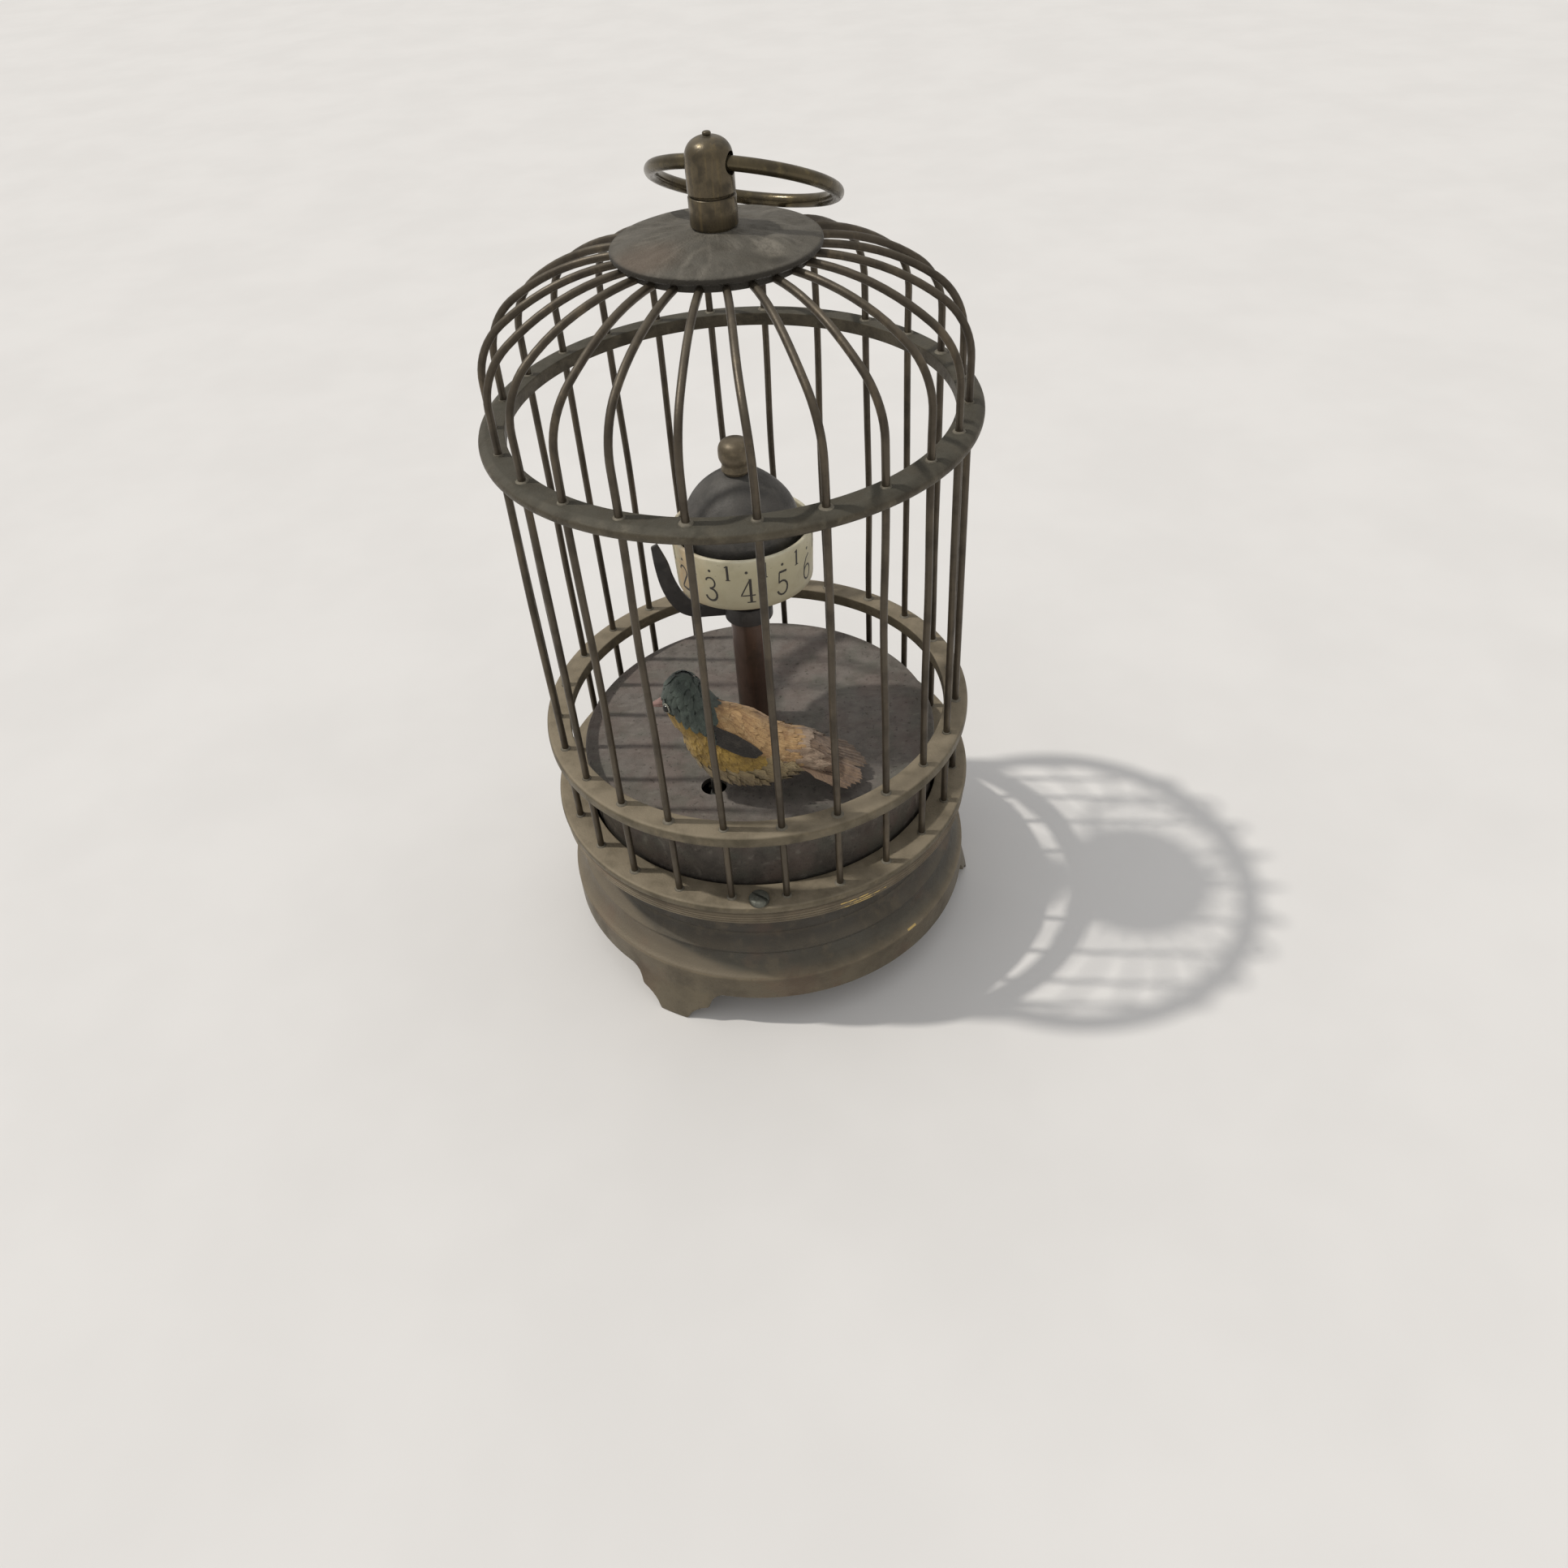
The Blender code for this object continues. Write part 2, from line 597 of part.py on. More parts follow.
def make_dial_arbor():
    foot = GREAT_Z[1] + GAP
    disc_foot, disc_top = CARRIER_Z
    rod_top = KNOB_TOP_Z - KNOB_CROWN
    blind = WINDER_TOP_Z + GAP
    socket_r = WINDER_R + RUN
    sleeve_r = socket_r + ARBOR_WALL
    outline = [(socket_r, foot), (ARBOR_FOOT_R, foot), (ARBOR_FOOT_R, foot + 1.2),
               (sleeve_r, foot + 1.6), (sleeve_r, blind + 0.8), (ARBOR_R, blind + 1.2),
               (ARBOR_R, disc_foot), (CARRIER_R, disc_foot), (CARRIER_R, disc_top),
               (DIAL_ROD_R, disc_top), (DIAL_ROD_R, rod_top), (0.0, rod_top), (0.0, blind),
               (socket_r, blind)]
    turned("dial_arbor", outline, STEEL, steps=20)


def band_radius(height):
    share = (height - BAND_FOOT_Z) / (BAND_TOP_Z - BAND_FOOT_Z)
    return BAND_R_FOOT + (BAND_R_TOP - BAND_R_FOOT) * share


def make_dial_band():
    outline = [(BAND_R_FOOT - BAND_WALL, BAND_FOOT_Z), (BAND_R_FOOT, BAND_FOOT_Z),
               (BAND_R_TOP, BAND_TOP_Z), (BAND_R_TOP - BAND_WALL, BAND_TOP_Z)]
    turned("dial_band", outline, CREAM_ENAMEL, steps=40)


def make_dial_dome():
    rod_r = DIAL_ROD_R + RUN
    spring = DOME_TOP_Z - 11.3
    outer = [(DOME_R, DOME_FOOT_Z), (DOME_R, spring)]
    outer += [(DOME_R * share, DOME_TOP_Z - down)
              for share, down in ((0.971, 8.3), (0.876, 5.3), (0.711, 2.7), (0.48, 0.9), (0.248, 0.1))]
    inner_r = DOME_R - DOME_WALL
    inner = [(rod_r, DOME_TOP_Z - DOME_WALL)]
    inner += [(inner_r * share, DOME_TOP_Z - down)
              for share, down in ((0.487, 1.7), (0.814, 4.7), (0.969, 8.4))]
    inner += [(inner_r, spring), (inner_r, DOME_FOOT_Z)]
    turned("dial_dome", [*outer, (rod_r, DOME_TOP_Z), *inner], DARK_METAL, steps=24)


def make_dial_knob():
    foot = DOME_TOP_Z + GAP
    bore_r = DIAL_ROD_R + RUN
    bore_top = KNOB_TOP_Z - KNOB_CROWN + GAP
    outline = [(bore_r, foot), (KNOB_FOOT_R, foot), (KNOB_FOOT_R, foot + 0.8), (KNOB_R, foot + 1.8),
               (KNOB_R, KNOB_TOP_Z - 2.4), (KNOB_R - 0.35, KNOB_TOP_Z - 1.2),
               (KNOB_R - 1.3, KNOB_TOP_Z - 0.3), (0.0, KNOB_TOP_Z), (0.0, bore_top), (bore_r, bore_top)]
    turned("dial_knob", outline, BRIGHT_BRASS, steps=16)


def make_pointer():
    """Collar on the post with a thin swan-neck blade that passes outside the band."""
    root = COLLAR_R - 0.5
    near = [(root, -10.3), (COLLAR_R + 3.2, -10.1), (COLLAR_R + 6.4, -10.0)]
    sweep = [(0.7, -8.3), (3.1, -4.6), (4.5, 0.0), (4.3, 5.3), (3.4, 8.3), (2.6, 7.0), (1.7, 1.5),
             (-0.5, -3.9), (-2.3, -7.1), (-5.0, -8.7)]
    outline = [*near, *((BAND_R_TOP + out, up) for out, up in sweep), (root, -8.8)]
    outline = [(out, POST_TOP_Z + up) for out, up in outline]
    blade = plate("pointer_blade", outline, -POINTER_THICK / 2, POINTER_THICK / 2, DARK_METAL)
    blade.rotation_euler = (math.radians(90.0), 0.0, math.radians(POINTER_AZIMUTH - 90.0))
    bore = POST_R + GAP
    collar = turned("pointer", [(bore, COLLAR_Z[0]), (COLLAR_R, COLLAR_Z[0]), (COLLAR_R, COLLAR_Z[1]),
                                (bore, COLLAR_Z[1])], DARK_METAL, steps=24)
    fuse(collar, blade)


# Bird

def oval(centre, across, half_height, half_width, sides=12):
    """Ring of points square to a direction in the bird's upright plane."""
    up = Vector((-across[1], 0.0, across[0])).normalized()
    middle = Vector((BIRD_X + centre[0], BIRD_Y + centre[2], BIRD_WIRE_TOP_Z + centre[1]))
    side = Vector((0.0, 1.0, 0.0))
    points = []
    for i in range(sides):
        turn = math.tau * i / sides
        points.append(middle + up * (half_height * math.cos(turn)) + side * (half_width * math.sin(turn)))
    return points


def make_bird_body():
    sections = []
    for i, (centre, height, width) in enumerate(BIRD_SPINE):
        before = BIRD_SPINE[max(i - 1, 0)][0]
        after = BIRD_SPINE[min(i + 1, len(BIRD_SPINE) - 1)][0]
        across = (after[0] - before[0], after[1] - before[1])
        sections.append(oval((*centre, 0.0), across, height, width))
    body = loft("bird_body", sections, FEATHER)
    head_rows = []
    for turn in (15.0, 45.0, 75.0, 105.0, 135.0, 165.0):
        slide = -HEAD_R * math.cos(math.radians(turn))
        ring_r = HEAD_R * math.sin(math.radians(turn))
        head_rows.append(oval((HEAD_AT[0] + slide, HEAD_AT[1], 0.0), (1.0, 0.0), ring_r, ring_r))
    fuse(body, loft("bird_head", head_rows, FEATHER))
    for side, label in ((-1.0, "near"), (1.0, "far")):
        rows = [oval((*centre, side * out), (1.0, -0.42), height, thick, sides=8)
                for centre, height, thick, out in BIRD_WING]
        fuse(body, loft(f"wing_{label}", rows, FEATHER))
    socket = drill("wire_socket", BIRD_WIRE_R + GAP, FLOOR_TOP_Z, BIRD_WIRE_TOP_Z + GAP, (BIRD_X, BIRD_Y))
    cut(body, socket)
    return body


def make_bird_beak():
    base_x = HEAD_AT[0] - HEAD_R - GAP
    rows = [oval((base_x - out, up, 0.0), (1.0, 0.0), height, width, 8)
            for out, up, height, width in BEAK_SECTIONS]
    return loft("bird_beak", rows, HORN)


def make_bird_tail():
    """Fan of tail feathers: an outline in plan, thin, tilted down behind the body."""
    tail = plate("bird_tail", TAIL_OUTLINE, -TAIL_THICK / 2, TAIL_THICK / 2, FEATHER)
    tail.rotation_euler = (0.0, math.radians(TAIL_TILT), 0.0)
    tail.location = Vector((BIRD_X + TAIL_AT[0] + GAP, BIRD_Y, BIRD_WIRE_TOP_Z + TAIL_AT[1])) * MM
    return tail


def make_bird_wire():
    """Rocker: upright wire, cross pin in the plate's ears, and a tail for the pallet's fork."""
    wire = plate("bird_wire", circle(BIRD_WIRE_R, 8), BIRD_PIVOT_Z - 0.5, BIRD_WIRE_TOP_Z, STEEL)
    pin = plate("rocker_pin", circle(ROCKER_PIN_R, 8), -ROCKER_PIN_HALF, ROCKER_PIN_HALF, STEEL)
    hub = plate("rocker_hub", circle(ROCKER_HUB_R, 8), 0.4 - EAR_GAP, EAR_GAP - 0.4, STEEL)
    for piece in (pin, hub):
        piece.rotation_euler = (math.radians(90.0), 0.0, 0.0)
        piece.location = Vector((BIRD_X, BIRD_Y, BIRD_PIVOT_Z)) * MM
    half_x, half_y = TAIL_HALF
    corners = [(-half_x, -half_y), (half_x, -half_y), (half_x, half_y), (-half_x, half_y)]
    tail = plate("rocker_tail", corners, ROCKER_TAIL_Z, BIRD_PIVOT_Z - 1.0, STEEL)
    move(wire, (BIRD_X, BIRD_Y))
    move(tail, (BIRD_X, BIRD_Y))
    fuse(wire, pin, hub, tail)
    return wire


def make_bird():
    pieces = [make_bird_body(), make_bird_beak(), make_bird_tail(), make_bird_wire()]
    pivot("bird_pivot", (BIRD_X, BIRD_Y, BIRD_PIVOT_Z), pieces)


# Base

def make_drum():
    foot = LOWER_PLATE_Z[1] + GAP
    floor = FLOOR_TOP_Z - DRUM_WALL
    outline = [(DRUM_R - DRUM_WALL, foot), (DRUM_R, foot), (DRUM_R, FLOOR_TOP_Z - DRUM_EDGE),
               (DRUM_R - DRUM_EDGE, FLOOR_TOP_Z), (0.0, FLOOR_TOP_Z), (0.0, floor),
               (DRUM_R - DRUM_WALL, floor)]
    drum = turned("movement_drum", outline, AGED_BRASS, steps=40)
    cut(drum, drill("post_hole", POST_SPIGOT_R + GAP, floor - 2.0, FLOOR_TOP_Z + 2.0, sides=16),
        drill("bird_hole", FLOOR_HOLE_R, floor - 2.0, FLOOR_TOP_Z + 2.0, (BIRD_X, BIRD_Y), 12))


def arch_height(offset):
    """Underside of the skirt at a distance along it from a foot's centre."""
    steps = [*FOOT_PROFILE, (ARCH_END, SKIRT_FOOT_Z)]
    for (near, low), (far, high) in zip(steps, steps[1:]):
        if offset <= far:
            return low + (high - low) * max(offset - near, 0.0) / (far - near)
    return SKIRT_FOOT_Z


def make_arch_cutter(name, start_azimuth, span):
    """Block below the skirt between two feet, its top stepped up in an ogee at each end."""
    reach = math.radians(span) * SKIRT_R
    ends = [offset for offset, height in FOOT_PROFILE] + [ARCH_END]
    middle_steps = 6
    middle = [ARCH_END + (reach - 2 * ARCH_END) * i / middle_steps for i in range(1, middle_steps)]
    offsets = [*ends, *middle, *(reach - end for end in reversed(ends))]
    below = -5.0
    sections = []
    for offset in offsets:
        azimuth = start_azimuth + math.degrees(offset / SKIRT_R)
        top = arch_height(min(offset, reach - offset))
        inner = around(SKIRT_BORE_R - 3.0, azimuth)
        outer = around(SKIRT_R + FOOT_FLARE + 3.0, azimuth)
        sections.append([(*inner, below), (*outer, below), (*outer, top), (*inner, top)])
    return loft(name, sections, AGED_BRASS)


def make_base_casting():
    """Bead, cove, torus and skirt in one turned section, then arches between three flared feet."""
    top = BASE_HEIGHT
    bead = [(2.3, 0.0), (2.9, 0.7), (2.9, 3.0), (2.2, 3.7)]
    torus = [(0.6, 15.6), (0.3, 16.1), (0.9, 19.0), (2.2, 21.0)]
    cove = arc((CAGE_R + 5.5, top - 9.8), 7.4, 128.0, 222.0, 4)
    outline = [(BASE_BORE_R, top), *((CAGE_R + out, top - down) for out, down in bead), *cove]
    outline += [(CAGE_R + out, top - down) for out, down in torus]
    outline += [(SKIRT_R, top - 21.8), (SKIRT_R, SKIRT_FOOT_Z), (SKIRT_R + FOOT_FLARE, 0.0),
                (SKIRT_BORE_R + FOOT_FLARE, 0.0), (SKIRT_BORE_R, SKIRT_FOOT_Z),
                (SKIRT_BORE_R, LEDGE_Z[0]), (LEDGE_R, LEDGE_Z[0]), (LEDGE_R, LEDGE_Z[1]),
                (BASE_BORE_R, LEDGE_Z[1])]
    base = turned("base_casting", outline, AGED_BRASS, steps=40)
    for i, azimuth in enumerate(FOOT_AZIMUTHS):
        cut(base, make_arch_cutter(f"arch_{i + 1}", azimuth, 120.0))
    seat = LOWER_RING_Z[1] + GAP
    for i, place in enumerate(screw_places()):
        cut(base, drill(f"screw_hole_{i + 1}", SCREW_SHANK_R + GAP, seat - SCREW_LENGTH - 0.5,
                        BASE_HEIGHT + 2.0, place))


def make_bottom_cover():
    plate("bottom_cover", circle(COVER_R, 40), *COVER_Z, AGED_BRASS, [circle(KEY_HUB_R + 0.8, 16)])


def make_winding_key():
    """Butterfly key: a socket hub and two flat wings."""
    bottom, top = KEY_Z
    socket_r = WINDER_R + GAP
    socket_end = winder_foot_z() - GAP
    outline = [(0.0, bottom), (KEY_HUB_R - 0.6, bottom), (KEY_HUB_R, bottom + 0.6), (KEY_HUB_R, top),
               (socket_r, top), (socket_r, socket_end), (0.0, socket_end)]
    key = turned("winding_key", outline, BRIGHT_BRASS, steps=16)
    half = KEY_SPAN / 2
    wing = [(-2.0, bottom + 1.6), (-5.0, bottom + 0.2), (-half + 1.2, bottom + 0.4), (-half, bottom + 2.2),
            (-half, bottom + 4.6), (-half + 1.6, bottom + 6.3), (-5.5, bottom + 6.2), (-2.2, bottom + 4.6)]
    for side in (1.0, -1.0):
        blade = plate(f"key_wing_{int(side)}", [(x * side, z) for x, z in wing], -KEY_WING_THICK / 2,
                      KEY_WING_THICK / 2, BRIGHT_BRASS)
        blade.rotation_euler = (math.radians(90.0), 0.0, 0.0)
        fuse(key, blade)
    return key


# Movement

def winder_foot_z():
    return KEY_Z[0] + KEY_SOCKET_FLOOR + GAP


def law_of_cosines(side_a, side_b, opposite):
    return math.degrees(math.acos((side_a ** 2 + side_b ** 2 - opposite ** 2) / (2 * side_a * side_b)))


def train_places():
    """Plan places of the train's arbors, each at its pitch distance from the one before."""
    centre_r = GREAT_PITCH_R * (1 + CENTRE_PINION / GREAT_TEETH)
    third_distance = CENTRE_PITCH_R * (1 + THIRD_PINION / CENTRE_TEETH)
    escape_distance = THIRD_PITCH_R * (1 + ESCAPE_PINION / THIRD_TEETH)
    third_angle = CENTRE_ANGLE + law_of_cosines(centre_r, TRAIN_CIRCLE_R, third_distance)
    escape_angle = third_angle + law_of_cosines(TRAIN_CIRCLE_R, TRAIN_CIRCLE_R, escape_distance)
    pallet_angle = escape_angle + law_of_cosines(TRAIN_CIRCLE_R, TRAIN_CIRCLE_R, ESCAPE_R + PALLET_DEPTH)
    return {"great": (0.0, 0.0),
            "centre": polar(centre_r, CENTRE_ANGLE),
            "third": polar(TRAIN_CIRCLE_R, third_angle),
            "escape": polar(TRAIN_CIRCLE_R, escape_angle),
            "pallet": polar(TRAIN_CIRCLE_R, pallet_angle),
            "balance": polar(TRAIN_CIRCLE_R - BALANCE_DISTANCE, pallet_angle)}


def gear_outline(teeth, pitch_r, phase, addendum=0.5, dedendum=1.05, tip_share=0.17):
    """Pointed-root gear: two tip corners and one root point to a tooth, sizes in modules."""
    module = 2.0 * pitch_r / teeth
    step = 360.0 / teeth
    half_tip = step * tip_share / 2
    points = []
    for i in range(teeth):
        middle = phase + step * i
        points.append(polar(pitch_r + addendum * module, middle - half_tip))
        points.append(polar(pitch_r + addendum * module, middle + half_tip))
        points.append(polar(pitch_r - dedendum * module, middle + step / 2))
    return points


def meshing_phase(driver, driver_teeth, driver_phase, follower, follower_teeth):
    """Phase that puts a follower's tooth in the driver's gap on the line of centres."""
    line = math.degrees(math.atan2(follower[1] - driver[1], follower[0] - driver[0]))
    driver_turn = (line - driver_phase) * driver_teeth / 360.0
    return line + 180.0 - (0.5 - driver_turn) * 360.0 / follower_teeth


def staff_outline(low_seat, high_seat, low_end, high_end):
    return [(0.0, low_end), (PIVOT_R, low_end), (PIVOT_R, low_seat), (STAFF_R, low_seat),
            (STAFF_R, high_seat), (PIVOT_R, high_seat), (PIVOT_R, high_end), (0.0, high_end)]


def make_staff(name, material=STEEL):
    """Arbor between the plates with a pivot at each end."""
    outline = staff_outline(LOWER_PLATE_Z[1] + GAP, UPPER_PLATE_Z[0] - GAP,
                            LOWER_PLATE_Z[0] + GAP, UPPER_PLATE_Z[1] - GAP)
    return turned(name, outline, material, steps=8)


def spoke_windows(inner, outer, count, half_spoke, start=0.0, steps=2):
    """Openings between a wheel's spokes, each bounded by two arcs."""
    windows = []
    for i in range(count):
        low = start + 360.0 / count * i
        high = low + 360.0 / count
        inner_edge = math.degrees(half_spoke / inner)
        outer_edge = math.degrees(half_spoke / outer)
        window = arc((0.0, 0.0), outer, low + outer_edge, high - outer_edge, steps + 1)
        window += arc((0.0, 0.0), inner, high - inner_edge, low + inner_edge, steps)
        windows.append(window)
    return windows


def make_plates():
    places = train_places()
    bottom, top = LOWER_PLATE_Z
    staffs = ("centre", "third", "escape", "pallet")
    holes = [circle(BEARING_R, 8, places[key]) for key in staffs]
    holes.append(circle((WINDER_R + GAP) * 1.08, 12))
    lower = plate("lower_plate", circle(DRUM_R, 40), bottom, top, BRIGHT_BRASS, holes)
    pillar = [(0.0, top - 0.5), (PILLAR_R, top - 0.5), (PILLAR_R, UPPER_PLATE_Z[0] - GAP),
              (PILLAR_TENON_R, UPPER_PLATE_Z[0] - GAP), (PILLAR_TENON_R, UPPER_PLATE_Z[1] + 0.7),
              (0.0, UPPER_PLATE_Z[1] + 0.7)]
    for i, angle in enumerate(PILLAR_ANGLES):
        post = turned(f"pillar_{i + 1}", pillar, BRIGHT_BRASS, steps=8)
        move(post, polar(PILLAR_CIRCLE_R, angle))
        fuse(lower, post)
    anchor = plate("spring_anchor", circle(1.0, 8), top - 0.5, SPRING_Z[1], BRIGHT_BRASS)
    move(anchor, polar(SPRING_R[1] + SPRING_THICK / 2 + GAP + 1.1, 0.0))
    fuse(lower, anchor)

    holes = [circle(BEARING_R, 8, places[key]) for key in (*staffs, "balance")]
    holes += [circle(PILLAR_TENON_R + GAP + 0.1, 8, polar(PILLAR_CIRCLE_R, angle))
              for angle in PILLAR_ANGLES]
    holes.append(circle(ARBOR_R + RUN, 16))
    slot_x = TAIL_HALF[0] + 1.4
    slot_y = TAIL_HALF[1] + 0.45
    holes.append([(BIRD_X + x * slot_x, BIRD_Y + y * slot_y)
                  for x, y in ((-1, -1), (1, -1), (1, 1), (-1, 1))])
    low, high = UPPER_PLATE_Z
    upper = plate("upper_plate", circle(UPPER_PLATE_R, 36), low, high, BRIGHT_BRASS, holes)
    for i, side in enumerate((-1.0, 1.0)):
        near = BIRD_Y + side * EAR_GAP
        far = BIRD_Y + side * (EAR_GAP + EAR_THICK)
        corners = [(BIRD_X - 1.5, near), (BIRD_X + 1.5, near), (BIRD_X + 1.5, far), (BIRD_X - 1.5, far)]
        ear = plate(f"ear_{i + 1}", corners, low + 0.5, BIRD_PIVOT_Z + 1.5, BRIGHT_BRASS)
        fuse(upper, ear)
    pin_hole = drill("pin_hole", ROCKER_PIN_R + GAP, -3.0, 3.0, sides=6)
    pin_hole.rotation_euler = (math.radians(90.0), 0.0, 0.0)
    pin_hole.location = Vector((BIRD_X, BIRD_Y, BIRD_PIVOT_Z)) * MM
    cut(upper, pin_hole)
    fuse(upper, plate("cock_pillar", circle(1.5, 8, COCK_PILLAR), COCK_Z[0] + 0.3, low + 0.5, BRIGHT_BRASS))
    fuse(upper, make_cock_arm(places["balance"]))


def make_cock_arm(balance):
    """Arm of the balance cock, from its pillar to the lower pivot."""
    reach = Vector(balance) - Vector(COCK_PILLAR)
    line = math.degrees(math.atan2(reach.y, reach.x))
    outline = [*(Vector(COCK_PILLAR) + Vector(point) for point in arc((0, 0), 2.2, line + 90, line + 270, 4)),
               *(Vector(balance) + Vector(point) for point in arc((0, 0), 2.0, line - 90, line + 90, 4))]
    return plate("cock_arm", outline, *COCK_Z, BRIGHT_BRASS, [circle(BEARING_R, 8, balance)])


def strip_outline(radii, turns, thick, per_turn):
    """Plan outline of a flat spiral strip."""
    count = turns * per_turn
    outer = []
    inner = []
    for i in range(count + 1):
        radius = radii[0] + (radii[1] - radii[0]) * i / count
        turn = 360.0 * turns * (i - count) / count
        outer.append(polar(radius + thick / 2, turn))
        inner.append(polar(radius - thick / 2, turn))
    return outer + inner[::-1]


def make_springs():
    plate("mainspring", strip_outline(SPRING_R, SPRING_TURNS, SPRING_THICK, 12), *SPRING_Z, STEEL)
    coil = plate("hairspring", strip_outline(HAIRSPRING_R, HAIRSPRING_TURNS, HAIRSPRING_THICK, 10),
                 *HAIRSPRING_Z, STEEL)
    move(coil, train_places()["balance"])


def make_winding():
    foot = winder_foot_z()
    hub_r = SPRING_R[0] - SPRING_THICK / 2 - GAP
    low, high = SPRING_Z
    outline = [(0.0, foot), (WINDER_R, foot), (WINDER_R, low - 0.6), (hub_r, low - 0.2), (hub_r, high - 0.4),
               (hub_r - 0.8, RATCHET_Z[0] + 0.3), (WINDER_R, RATCHET_Z[0] + 0.3), (WINDER_R, WINDER_TOP_Z),
               (0.0, WINDER_TOP_Z)]
    arbor = turned("winding_arbor", outline, STEEL, steps=12)
    step = 360.0 / RATCHET_TEETH
    teeth = []
    for i in range(RATCHET_TEETH):
        teeth.append(polar(RATCHET_R, step * i))
        teeth.append(polar(RATCHET_R - 0.7, step * i + 1.0))
    fuse(arbor, plate("ratchet", teeth, *RATCHET_Z, STEEL))
    pivot("winding_pivot", (0.0, 0.0, 0.0), [arbor, make_winding_key()])


def make_click():
    """Pawl on the great wheel's stud, its beak just off the ratchet's teeth."""
    tip_r = RATCHET_R + GAP + 0.1
    boss = [(CLICK_PIVOT_R + x, y) for x, y in arc((0.0, 0.0), 1.9, 90.0, -150.0, 5)]
    outline = [*boss, polar(tip_r + 1.1, 24.0), polar(tip_r, 44.0), polar(tip_r + 0.6, 50.0),
               polar(tip_r + 2.6, 30.0)]
    local = [(x - CLICK_PIVOT_R, y) for x, y in outline]
    click = plate("click", local, *RATCHET_Z, STEEL, [circle(0.7 + RUN, 8)])
    move(click, (CLICK_PIVOT_R, 0.0))


def make_great_wheel():
    windows = spoke_windows(CLICK_PIVOT_R + 2.6, GREAT_PITCH_R - 3.4, 6, 1.4, 30.0)
    wheel = plate("great_wheel", gear_outline(GREAT_TEETH, GREAT_PITCH_R, 0.0), *GREAT_Z, BRIGHT_BRASS,
                  [circle((WINDER_R + GAP) * 1.04, 12), *windows])
    stud = plate("click_stud", circle(0.7, 8, (CLICK_PIVOT_R, 0.0)), RATCHET_Z[0] - 0.1, GREAT_Z[0] + 0.5, STEEL)
    fuse(wheel, stud)


def make_train():
    places = train_places()
    centre_phase = meshing_phase(places["great"], GREAT_TEETH, 0.0, places["centre"], CENTRE_PINION)
    third_phase = meshing_phase(places["centre"], CENTRE_TEETH, 0.0, places["third"], THIRD_PINION)
    escape_phase = meshing_phase(places["third"], THIRD_TEETH, 0.0, places["escape"], ESCAPE_PINION)
    wheels = (("centre_wheel", "centre", CENTRE_TEETH, CENTRE_PITCH_R, CENTRE_Z, CENTRE_PINION,
               GREAT_PITCH_R / GREAT_TEETH, centre_phase, GREAT_Z),
              ("third_wheel", "third", THIRD_TEETH, THIRD_PITCH_R, THIRD_Z, THIRD_PINION,
               CENTRE_PITCH_R / CENTRE_TEETH, third_phase, CENTRE_Z))
    for name, key, teeth, pitch_r, heights, leaves, half_module, phase, mate in wheels:
        staff = make_staff(name, BRIGHT_BRASS)
        rim = plate(f"{name}_rim", gear_outline(teeth, pitch_r, 0.0), *heights, BRIGHT_BRASS)
        pinion = plate(f"{name}_pinion", gear_outline(leaves, leaves * half_module, phase),
                       mate[0] - 0.2, mate[1] + 0.2, STEEL)
        for piece in (staff, rim, pinion):
            move(piece, places[key])
        fuse(staff, rim, pinion)
    staff = make_staff("escape_wheel", BRIGHT_BRASS)
    step = 360.0 / ESCAPE_TEETH
    teeth = []
    for i in range(ESCAPE_TEETH):
        teeth.append(polar(ESCAPE_R, step * i))
        teeth.append(polar(ESCAPE_R - 1.9, step * i + 4.0))
        teeth.append(polar(ESCAPE_R - 1.9, step * i + 15.0))
    rim = plate("escape_rim", teeth, *ESCAPE_Z, BRIGHT_BRASS)
    pinion = plate("escape_pinion", gear_outline(ESCAPE_PINION, ESCAPE_PINION * THIRD_PITCH_R / THIRD_TEETH,
                                                 escape_phase), THIRD_Z[0] - 0.2, THIRD_Z[1] + 0.2, STEEL)
    for piece in (staff, rim, pinion):
        move(piece, places["escape"])
    fuse(staff, rim, pinion)


def make_pallet():
    """Anchor over the escape wheel, with a fork that takes the rocker's tail."""
    places = train_places()
    home = Vector(places["pallet"])
    escape = Vector(places["escape"]) - home
    line = math.degrees(math.atan2(-escape.y, -escape.x))
    reach_r = ESCAPE_R + 1.05
    near = [escape + Vector(polar(reach_r, line - 40.0)), escape + Vector(polar(reach_r + 1.3, line - 36.0))]
    far = [escape + Vector(polar(reach_r + 1.3, line + 36.0)), escape + Vector(polar(reach_r, line + 40.0))]
    inner = escape + Vector(polar(reach_r + 0.5, line))
    back = escape + Vector(polar(reach_r + 3.4, line))
    staff = make_staff("pallet", STEEL)
    anchor = plate("pallet_anchor", [near[0], near[1], back + Vector(polar(0.8, line - 90)),
                                     back + Vector(polar(0.8, line + 90)), far[0], far[1], inner],
                   *ESCAPE_Z, STEEL)
    tail = Vector((BIRD_X, BIRD_Y)) - home
    inner_x = TAIL_HALF[0] + FORK_SHAKE
    outer_x = inner_x + FORK_WALL
    root_y = tail.y + TAIL_HALF[1] + 1.2
    tip_y = tail.y - TAIL_HALF[1] - 0.6
    fork = plate("pallet_fork", [(-0.2, -0.8), (tail.x - outer_x, root_y + 0.6), (tail.x - outer_x, tip_y),
                                 (tail.x - inner_x, tip_y), (tail.x - inner_x, root_y),
                                 (tail.x + inner_x, root_y), (tail.x + inner_x, tip_y),
                                 (tail.x + outer_x, tip_y), (tail.x + outer_x, root_y + 1.0), (0.8, 0.3)],
                 *ESCAPE_Z, STEEL)
    for piece in (staff, anchor, fork):
        move(piece, places["pallet"])
    fuse(staff, anchor, fork)


